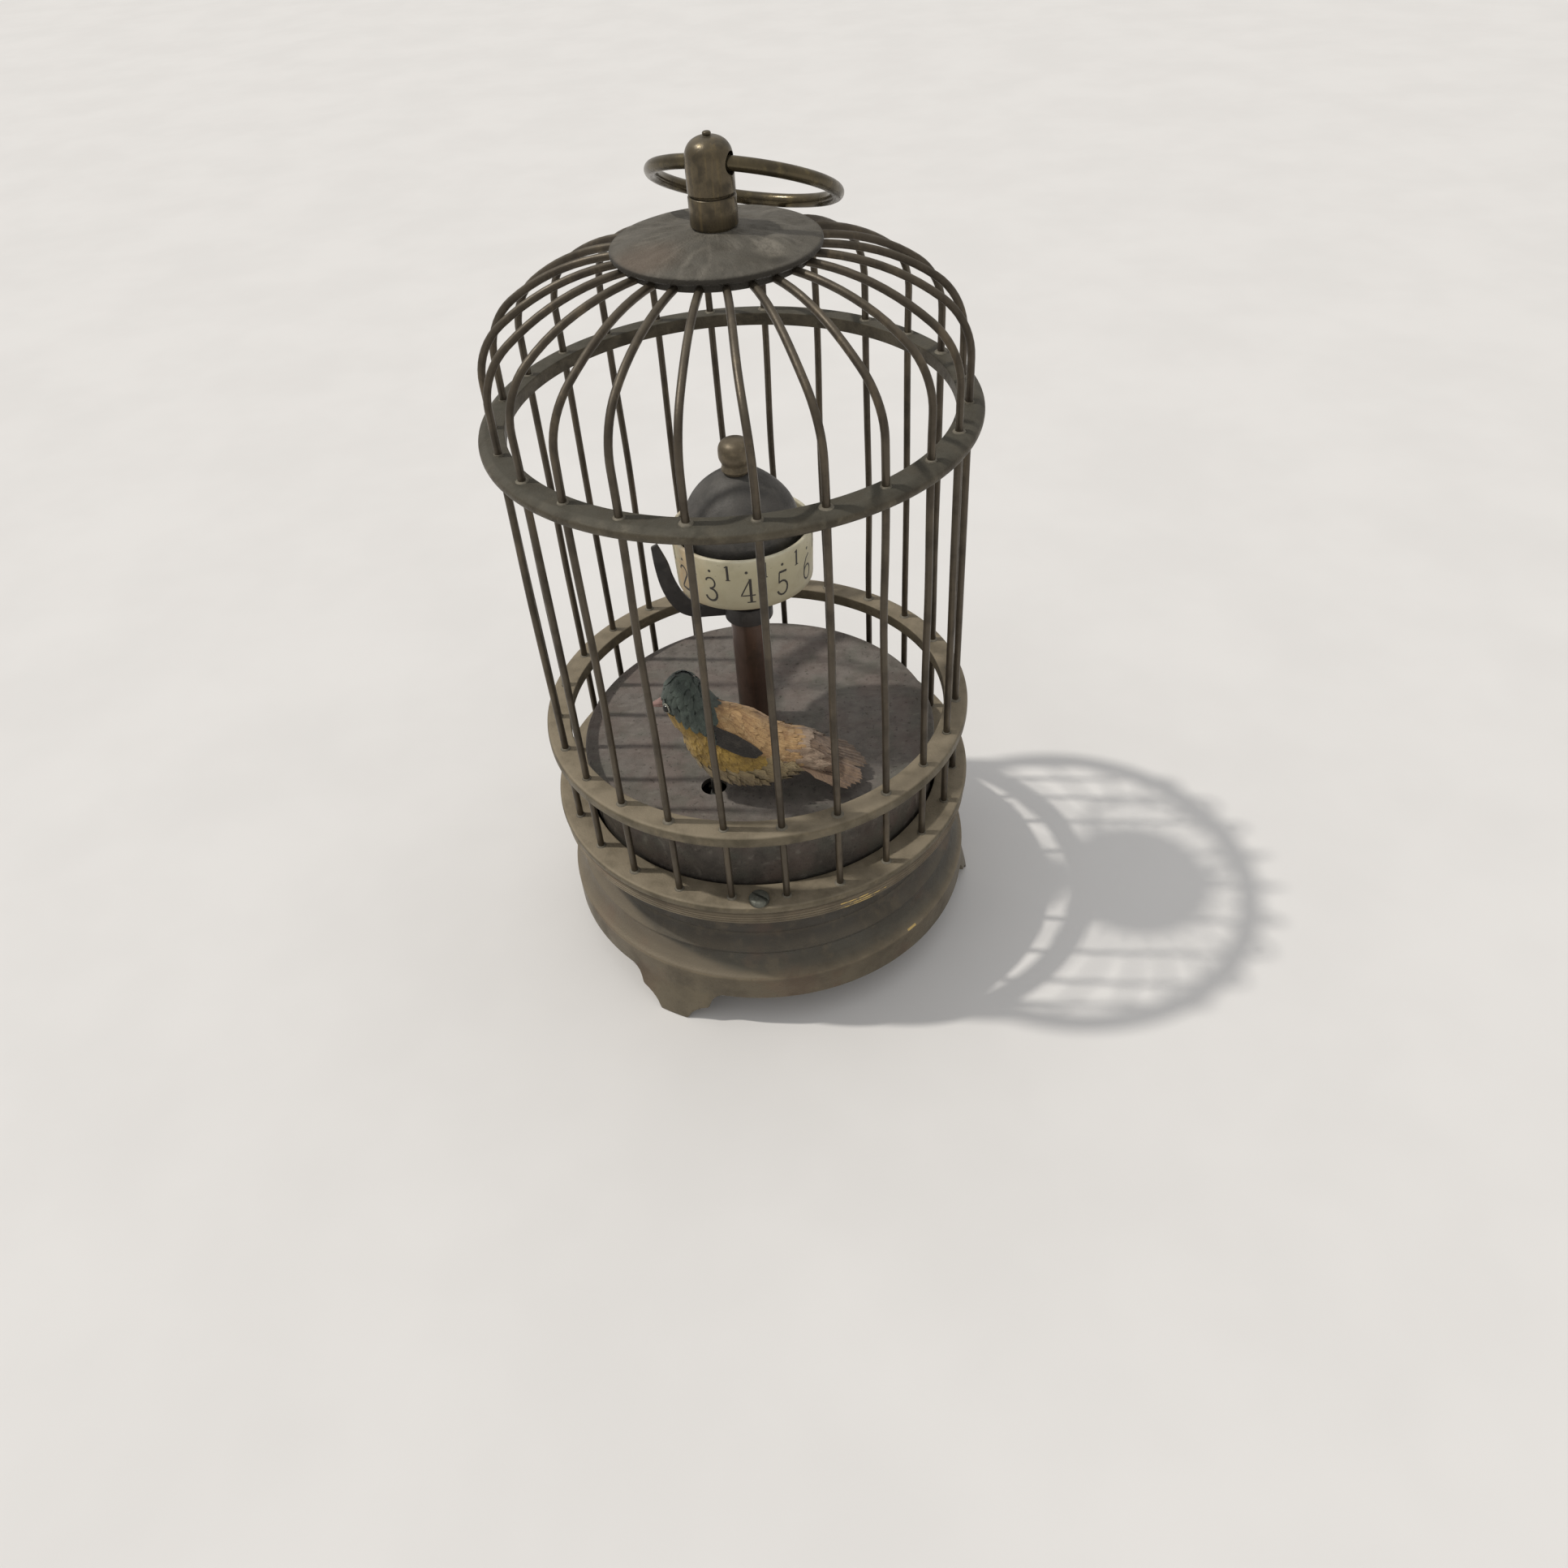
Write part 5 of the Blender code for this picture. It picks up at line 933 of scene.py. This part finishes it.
def make_figures():
    """Hours 1 to 12 round the band, a dot over each and a serifed stroke halfway to the next."""
    high, wide, bold = 6.0, 5.3, 1.3
    gap = 0.56 * wide
    for hour in range(1, 13):
        middle = math.radians(4.5 + 30.0 * (hour - 4)) * PRINT_R
        strokes = []
        digits = str(hour)
        start = middle - gap * len(digits) / 2 - (0.31 * wide - gap / 2)
        for i, digit in enumerate(digits):
            for points, weight in FIGURES[digit]:
                line = [(start + gap * i + x * wide, 95.1 + z * high) for x, z in points]
                strokes.append(ink_stroke(line, weight * wide * bold))
        half = middle + math.radians(15.0) * PRINT_R
        for line, weight in ((arc_points(middle, 102.5, 0.17, 0.17, 0, 360, 8), 0.4),
                             ([(half, 100.7), (half, 104.2)], 0.52),
                             ([(half, 104.1), (half - 0.55, 103.75)], 0.28),
                             ([(half - 0.5, 100.7), (half + 0.5, 100.7)], 0.26)):
            strokes.append(ink_stroke(line, weight))
        piece = print_on_band(f"dial_figure_{hour:02d}", strokes)
        finish_piece(piece, "ink", "dark_metal", "dial")


def make_dome():
    """Spun dome over the band, with shallow dents."""
    spring = [(12.3, 104.5), (12.2, 106.0), (11.75, 108.2), (10.6, 110.9), (8.7, 113.4), (6.2, 115.5),
              (3.6, 116.9), (1.55, 117.3)]
    inside = [(1.55, 116.5), (5.6, 114.9), (8.0, 112.7), (9.8, 110.2), (10.9, 107.6), (11.4, 104.5)]
    corners = [(12.3, 95.0), *curve_through(spring, 5), *curve_through(inside, 4), (11.4, 95.0)]
    dome = turn_piece("dome_spun", corners, 144)
    dents = [(3.0, -10.5, 4.5, -0.2), (-7.5, -6.0, 4.0, -0.12), (8.0, 6.0, 6.0, -0.25),
             (-6.0, 8.0, 5.0, -0.2)]
    for vertex in dome.data.vertices:
        x, y, z = vertex.co / MM
        if z > 106.0 and math.hypot(x, y) > 3.0:
            vertex.co += mm(x, y, 9.0).normalized() * dent_depth(x, y, dents) * MM
    finish_piece(close_up(dome, 50.0), "dome_metal", "dark_metal", "dial", "dial_dome")


def make_knob():
    """Turned knob, with a hidden neck down to the dome."""
    outer = curve_through([(3.0, 117.75), (3.12, 118.05), (2.95, 118.6), (2.92, 119.3), (3.2, 119.95),
                           (3.43, 120.7), (3.45, 121.8), (3.35, 122.7), (2.95, 123.5), (2.2, 124.05),
                           (1.1, 124.33), (0.0, 124.4)], 4)
    knob = turn_piece("knob_turned", [(0.0, 121.2), (1.55, 121.2), (1.55, 117.2), (2.5, 117.2), (2.5, 117.6),
                                      (2.85, 117.6), *outer], 72)
    finish_piece(knob, "knob_brass", "bright_brass", "dial", "dial_knob")


def make_pointer():
    """Sheet hand that sweeps out from a collar on the post and up past the band."""
    lower = [(4.7, 82.8), (8.5, 82.8), (11.8, 82.9), (15.0, 84.3), (17.2, 87.3), (18.6, 91.5), (19.3, 96.5),
             (19.5, 101.2)]
    upper = [(18.1, 101.9), (16.4, 97.4), (15.6, 93.6), (14.3, 90.0), (12.4, 87.2), (10.2, 85.7), (4.7, 85.3)]
    turn = math.radians(-87.0)
    out = Vector((math.sin(turn), -math.cos(turn), 0.0))
    thick = Vector((-out.y, out.x, 0.0)) * 0.8
    outline = curve_through(lower, 5) + curve_through(upper, 5)
    points = [tuple(out * reach - thick / 2 + Vector((0.0, 0.0, up))) for reach, up in outline]
    blade = soften(cut_sheet("pointer_blade", points, thick * MM), 0.18, 2)
    collar = turn_piece("pointer_collar", [(4.5, 82.5, 0.2), (5.3, 82.5, 0.25), (5.3, 86.5, 0.25),
                                           (4.5, 86.5, 0.2)], 64)
    pointer = join("pointer_sheet", [collar, blade])
    finish_piece(pointer, "pointer_metal", "dark_metal", "root", "pointer")


# Bird

# Middle (x, z), half height and half width along the bird, from its crown to its tail
SPINE = ((-12.7, 82.9, 0.8, 0.9), (-13.1, 82.0, 2.2, 2.3), (-13.5, 80.0, 3.7, 3.5), (-13.4, 77.0, 4.8, 4.3),
         (-12.3, 74.0, 4.9, 4.7), (-10.6, 71.2, 5.0, 5.2), (-8.1, 67.8, 7.3, 6.2), (-3.6, 63.8, 8.4, 7.1),
         (1.6, 61.7, 7.3, 6.8), (6.4, 61.4, 5.5, 5.6), (10.4, 61.7, 4.0, 4.8), (13.2, 60.8, 2.7, 4.9),
         (16.0, 59.4, 1.4, 4.8), (18.4, 58.2, 0.5, 4.2))
SPINE_FINE = curve_through(SPINE, 8)
SPINE_RUN = [0.0]
for near, far in zip(SPINE_FINE, SPINE_FINE[1:]):
    SPINE_RUN.append(SPINE_RUN[-1] + math.dist(near[:2], far[:2]))
EYES = ((-17.2, -24.7, 76.6), (-17.2, -19.3, 76.6))
HOOD_FOOT = ((-19.5, 75.5), (-14.5, 71.6), (-11.6, 70.7), (-9.4, 68.9), (-6.3, 66.4), (-1.5, 64.2),
             (2.6, 63.2))
HOOD_BACK = ((63.2, 2.6), (64.4, 1.1), (68.1, -2.1), (71.4, -5.7), (76.0, -6.0), (90.0, -6.3))


def body_place(run, around):
    """Point, outward normal and tailward way at a run from the crown; around is 0 on its back."""
    i = 0
    while i < len(SPINE_RUN) - 2 and SPINE_RUN[i + 1] < run:
        i += 1
    near, far = Vector(SPINE_FINE[i]), Vector(SPINE_FINE[i + 1])
    x, z, high, wide = near + (far - near) * (run - SPINE_RUN[i]) / (SPINE_RUN[i + 1] - SPINE_RUN[i])
    way = Vector((far[0] - near[0], 0.0, far[1] - near[1])).normalized()
    up = Vector((-way.z, 0.0, way.x))
    side = Vector((0.0, -1.0, 0.0))
    turn = math.radians(around)
    point = Vector((x, BIRD_Y, z)) + up * high * math.cos(turn) + side * wide * math.sin(turn)
    normal = (up * math.cos(turn) / high + side * math.sin(turn) / wide).normalized()
    return point, normal, way


def region(point):
    """Which plumage grows at a place, by how the bird's side looks from the front and above."""
    x = point.x
    z = point.z + 0.85 * (3.5 - abs(point.y - BIRD_Y))
    ahead = x < read_off(z, HOOD_BACK) if z > 63.2 else x < 2.6
    if ahead and z > read_off(x, HOOD_FOOT):
        return "wing" if x > -6.6 else "hood"
    if not ahead and z > read_off(x, ((2.6, 63.2), (8.0, 60.6), (14.0, 57.0))):
        return "tail" if x > 14.0 else "rump" if x > 10.0 else "back"
    if x > 2.5 or z < read_off(x, ((-12.0, 61.5), (-8.0, 59.5), (2.5, 58.8))):
        return "belly"
    return "breast"


# Length, width, height at the root, lift at the tip and raggedness of each kind of feather
FEATHERS = {"hood": (4.0, 1.6, 0.30, 0.28, 0.12), "wing": (2.6, 1.3, 0.08, 0.10, 0.10),
            "breast": (4.4, 2.2, 0.12, 0.30, 0.30), "belly": (5.2, 2.0, 0.08, 0.90, 0.70),
            "back": (6.6, 2.0, 0.15, 0.25, 0.16), "rump": (6.8, 2.0, 0.20, 0.30, 0.25),
            "tail": (6.5, 2.0, 0.10, 0.30, 0.20)}


def make_bird_core():
    """Body under the feathers: a ball drawn out along the spine, coloured as the plumage over it."""
    core = begin("bird_core", bpy.ops.mesh.primitive_uv_sphere_add, segments=56, ring_count=56, radius=1.0)
    for vertex in core.data.vertices:
        x, y, z = vertex.co
        run = SPINE_RUN[-1] * math.acos(max(-1.0, min(1.0, -z))) / math.pi
        point = body_place(run, math.degrees(math.atan2(y, x)))[0]
        top, low = body_place(run, 0.0)[0], body_place(run, 180.0)[0]
        vertex.co = (point if abs(z) < 0.9999 else (top + low) / 2) * MM
    edit(core)
    bpy.ops.mesh.normals_make_consistent(inside=False)
    bpy.ops.object.mode_set(mode="OBJECT")
    bpy.ops.object.shade_smooth()
    finish_piece(core, "hood", "feather", "bird", "bird_body")
    order = list(FEATHERS)
    for name in order[1:]:
        core.data.materials.append(finishes[name])
    for face in core.data.polygons:
        face.material_index = order.index(region(face.center / MM))
    return core


def make_feather(name, ragged, camber):
    """One feather, 1 long and 1 wide: a vane on a quill with a ragged edge."""
    feather = begin(name, bpy.ops.mesh.primitive_grid_add, x_subdivisions=7, y_subdivisions=4, size=1.0,
                    location=(0.5, 0.0, 0.0))
    for i, vertex in enumerate(feather.data.vertices):
        x, y, _ = vertex.co
        width = read_off(x, ((0.0, 0.30), (0.14, 0.68), (0.43, 1.0), (0.71, 0.95), (0.86, 0.74), (1.0, 0.30)))
        edge = abs(y) * 2.0
        notch = ragged * edge * (0.5 if i % 2 else -0.35)
        back = 0.16 * edge * ragged * (1.0 if i % 3 else -0.6)
        height = -camber * (y * width) ** 2 * 4.0 + 0.02 * (1 - edge)
        vertex.co = Vector((x + back, y * (width + notch), height))
    return feather


def feather_matrix(point, normal, way, length, width, twist):
    """Sets a feather down at a point, flat on the body and tailward."""
    x_axis = Matrix.Rotation(math.radians(twist), 3, normal) @ (way - normal * way.dot(normal)).normalized()
    y_axis = normal.cross(x_axis).normalized()
    turn = Matrix((x_axis, y_axis, normal)).transposed().to_4x4()
    return Matrix.Translation(point * MM) @ turn @ Matrix.Diagonal((length * MM, width * MM, width * MM, 1.0))


def plan_plumage():
    """Where every feather goes, by region: rows from the crown to the tail, each a step off the last."""
    plan = {name: [] for name in FEATHERS}
    run, row = 0.5, 0
    while run < SPINE_RUN[-1] - 6.5:
        wide = abs(body_place(run, 90.0)[0].y - BIRD_Y)
        count = max(7, round(math.tau * wide / 1.4))
        for k in range(count):
            around = 360.0 * (k + 0.5 * (row % 2)) / count + chance.uniform(-4.0, 4.0)
            start = max(0.3, run + chance.uniform(-0.3, 0.3))
            point, normal, way = body_place(start, around)
            tip = body_place(start + 4.0, around)[0]
            plan[region(tip)].append((point, normal, way))
        run += 1.25 if run < 22.0 else 1.5
        row += 1
    return plan


def lay_feathers(feather, core, places, root, lift):
    """Copies of a feather laid like tiles: each follows the body and stands off it towards its tip."""
    pick(feather)
    rows = feather.modifiers.new("rows", "ARRAY")
    rows.count = len(places)
    rows.use_relative_offset = False
    bpy.ops.object.modifier_apply(modifier="rows")
    points = feather.data.vertices
    size = len(points) // len(places)
    for k, place in enumerate(places):
        high, tilt = chance.uniform(0.0, 0.12), chance.uniform(-0.1, 0.1)
        tip = lift * chance.uniform(0.6, 1.4)
        for vertex in points[k * size:(k + 1) * size]:
            along, across, crown = vertex.co
            _, spot, normal, _ = core.closest_point_on_mesh(place @ vertex.co)
            height = root + high + tip * max(along, 0.0) ** 1.5 + tilt * across + 1.4 * crown
            vertex.co = spot + normal * height * MM


def make_plumage():
    core = make_bird_core()
    eyes = [Vector(eye) for eye in EYES]
    for name, places in plan_plumage().items():
        length, width, root, lift, ragged = FEATHERS[name]
        matrices = []
        for point, normal, way in places:
            if abs(way.dot(normal)) > 0.96:
                continue
            size = chance.uniform(0.85, 1.15) * (0.8 if point.z > 77.0 else 1.0)
            tip = point + (way - normal * way.dot(normal)).normalized() * length * size
            if min(min((point - eye).length, ((point + tip) / 2 - eye).length, (tip - eye).length)
                   for eye in eyes) < 1.3:
                continue
            matrices.append(feather_matrix(point, normal, way, length * size, width * size,
                                           chance.uniform(-7.0, 7.0)))
        coat = make_feather(f"bird_{name}_plumage", ragged, 0.12)
        lay_feathers(coat, core, matrices, root, lift)
        bpy.ops.object.shade_smooth()
        finish_piece(coat, name, "feather", "bird")


def make_wings():
    """A folded wing on each side: long dark quills that run together in a point."""
    core = bpy.data.objects["bird_core"]
    for label, out in (("near", -1.0), ("far", 1.0)):
        places = []
        for i in range(7):
            root = Vector((-7.4, BIRD_Y + out * 6.3, 73.9 - 0.75 * i))
            tip = Vector((2.1 - 0.25 * i, root.y, 65.9 - 0.1 * i))
            way = tip - root
            places.append(feather_matrix(root, Vector((0.0, out, 0.0)), way, way.length, 1.6, 0.0))
        quills = make_feather(f"bird_wing_{label}", 0.06, 0.12)
        lay_feathers(quills, core, places, 0.5, 0.3)
        bpy.ops.object.shade_smooth()
        finish_piece(quills, "wing", "feather", "bird")


def make_tail():
    """Tail feathers in two fans that part in the middle, the far one darker."""
    root = Vector((9.6, BIRD_Y, 61.9))
    tilt = math.radians(27.0)
    way = Vector((math.cos(tilt), 0.0, -math.sin(tilt)))
    normal = Vector((math.sin(tilt), 0.0, math.cos(tilt)))
    side = Vector((0.0, -1.0, 0.0))
    for fan, label, finish, nodes in ((-1.0, "far", "tail_dark", ()), (1.0, "near", "tail", ("bird_tail",))):
        made = []
        for i in range(7):
            turn = math.radians(fan * (2.5 + (1.6 if fan > 0 else 2.2) * i))
            heading = way * math.cos(turn) + side * math.sin(turn)
            start = root + side * fan * (0.5 + (0.62 if fan > 0 else 0.72) * i) + normal * (0.6 - 0.2 * i)
            length = (15.4, 16.2, 16.1, 15.6, 15.0, 14.2, 13.0)[i] - (0.9 if fan > 0 else 0.0)
            made.append(feather_matrix(start, normal, heading, length + chance.uniform(-0.4, 0.4), 3.2,
                                       chance.uniform(-1.5, 1.5)))
        feathers = copies(make_feather("tail_feather", 0.16, 0.16), made)
        tail = join(f"bird_tail_fan_{label}", feathers)
        bpy.ops.object.shade_smooth()
        finish_piece(tail, finish, "feather", "bird", *nodes)


def make_face():
    """Glass eyes in pale rims and a short pink beak."""
    core = bpy.data.objects["bird_core"]
    for label, eye in zip(("near", "far"), EYES):
        _, spot, normal, _ = core.closest_point_on_mesh(mm(*eye))
        place = spot + normal * 0.3 * MM
        bead = begin(f"bird_eye_{label}", bpy.ops.mesh.primitive_uv_sphere_add, segments=20, ring_count=12,
                     radius=0.85 * MM, location=place)
        bpy.ops.object.shade_smooth()
        finish_piece(bead, "eye_glass", "dark_metal", "bird")
        rim = begin(f"bird_eye_rim_{label}", bpy.ops.mesh.primitive_torus_add, major_segments=28,
                    minor_segments=8, major_radius=0.98 * MM, minor_radius=0.18 * MM, location=place,
                    rotation=facing(normal))
        for i, vertex in enumerate(rim.data.vertices):
            vertex.co += normal * 0.06 * math.sin(2.7 * i) * MM
        bpy.ops.object.shade_smooth()
        finish_piece(rim, "eye_ring", "feather", "bird")
    x_mid, z_mid, length = -19.9, 75.9, 4.4
    beak = begin("bird_beak_horn", bpy.ops.mesh.primitive_cone_add, vertices=20, radius1=1.35 * MM,
                 radius2=0.12 * MM, depth=length * MM, location=mm(x_mid, BIRD_Y, z_mid),
                 rotation=(0.0, math.radians(-100.0), 0.0))
    edit(beak)
    bpy.ops.mesh.subdivide(number_cuts=3)
    bpy.ops.object.mode_set(mode="OBJECT")
    for vertex in beak.data.vertices:
        x = vertex.co.x / MM
        out = max(0.0, (x_mid + length / 2 - x) / length)
        mouth = z_mid + (x - x_mid) * 0.176
        pinch = bump(vertex.co.z / MM - mouth, 0.25)
        vertex.co.y += (BIRD_Y * MM - vertex.co.y) * 0.25 * pinch
        vertex.co.z -= 0.5 * MM * out ** 2
    finish_piece(close_up(beak, 50.0), "beak_horn", "horn", "bird", "bird_beak")


# Movement: the CAD shapes stay and get their metals

def finish_movement():
    """Gives each part of the movement its metal."""
    metals = {"plate_brass": ("lower_plate", "great_wheel", "centre_wheel", "third_wheel", "escape_wheel",
                              "balance_wheel"),
              "plate_painted_shade_black": ("upper_plate",),
              "arbor_steel": ("winding_arbor", "click", "pallet", "bird_wire"),
              "spring_steel": ("mainspring", "hairspring")}
    for finish, nodes in metals.items():
        for node in nodes:
            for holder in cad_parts[node].material_slots:
                holder.material = finishes[finish]


# Room

def make_room():
    """A plain pale floor, daylight from the upper left and a soft sky."""
    floor = begin("floor", bpy.ops.mesh.primitive_plane_add, size=4.0)
    material, tree, shader, coords = new_material("pale_matt_floor")
    tint = speckle(tree, coords.outputs["Object"], 60.0, 0.3, 0.7)
    plug_in(tree, shader, {"Base Color": coats(tree, "#d6d3cf", ("#dad7d3", tint)), "Roughness": 0.8})
    floor.data.materials.append(material)
    pick()
    bpy.ops.object.light_add(type="SUN", location=(-0.3, 0.1, 0.6))
    sun = bpy.context.object
    sun.name = "window"
    sun.rotation_euler = Vector((76.0, -6.0, -131.0)).to_track_quat("-Z", "Y").to_euler()
    sun.data.energy = 1.75
    sun.data.angle = math.radians(2.0)
    sun.data.color = (1.0, 0.97, 0.92)
    world = bpy.data.worlds.new("room")
    bpy.context.scene.world = world
    world.use_nodes = True
    tree = world.node_tree
    sky = plug_in(tree, tree.nodes["Background"], {"Color": (0.86, 0.87, 0.89, 1.0), "Strength": 0.76})
    seen = add_node(tree, "ShaderNodeBackground", {"Color": "#c9c6c2", "Strength": 1.0})
    # The camera, gloss and clear things see the pale wall; all else is lit by the sky.
    rays = add_node(tree, "ShaderNodeLightPath").outputs
    share = rays["Is Camera Ray"]
    for kind in ("Is Glossy Ray", "Is Transmission Ray"):
        share = add_node(tree, "ShaderNodeMath", {0: share, 1: rays[kind]}, operation="MAXIMUM")
    mix = add_node(tree, "ShaderNodeMixShader", {0: share, 1: sky, 2: seen})
    plug_in(tree, tree.nodes["World Output"], {"Surface": mix})


def make_camera():
    """The photograph's viewpoint: from above the front, looking down at about 42 degrees."""
    focal_px, frame_px = 1527.0, 1932.0
    bpy.ops.object.camera_add()
    camera = bpy.context.object
    right = Vector((0.998384, 0.001386, -0.056816))
    up = Vector((0.041195, 0.67105, 0.740267))
    back = Vector((0.039152, -0.741411, 0.669908))
    turn = Matrix((right, up, back)).transposed().to_4x4()
    camera.matrix_world = Matrix.Translation(mm(16.4, -228.7, 238.0)) @ turn
    camera.data.sensor_width = 36.0
    camera.data.lens = camera.data.sensor_width * focal_px / frame_px
    camera.data.shift_x = 0.0013
    camera.data.clip_start = 0.01
    bpy.context.scene.camera = camera
    bpy.context.scene.view_settings.view_transform = "Standard"


for make in (make_base, make_bottom_cover, make_key, make_rings, make_solder, make_screws, make_drum,
             make_wires, make_roof, make_hub, make_cap, make_handle, make_post, make_arbor, make_band,
             make_figures, make_dome, make_knob, make_pointer, make_plumage, make_wings, make_tail, make_face,
             finish_movement, make_room, make_camera):
    make()
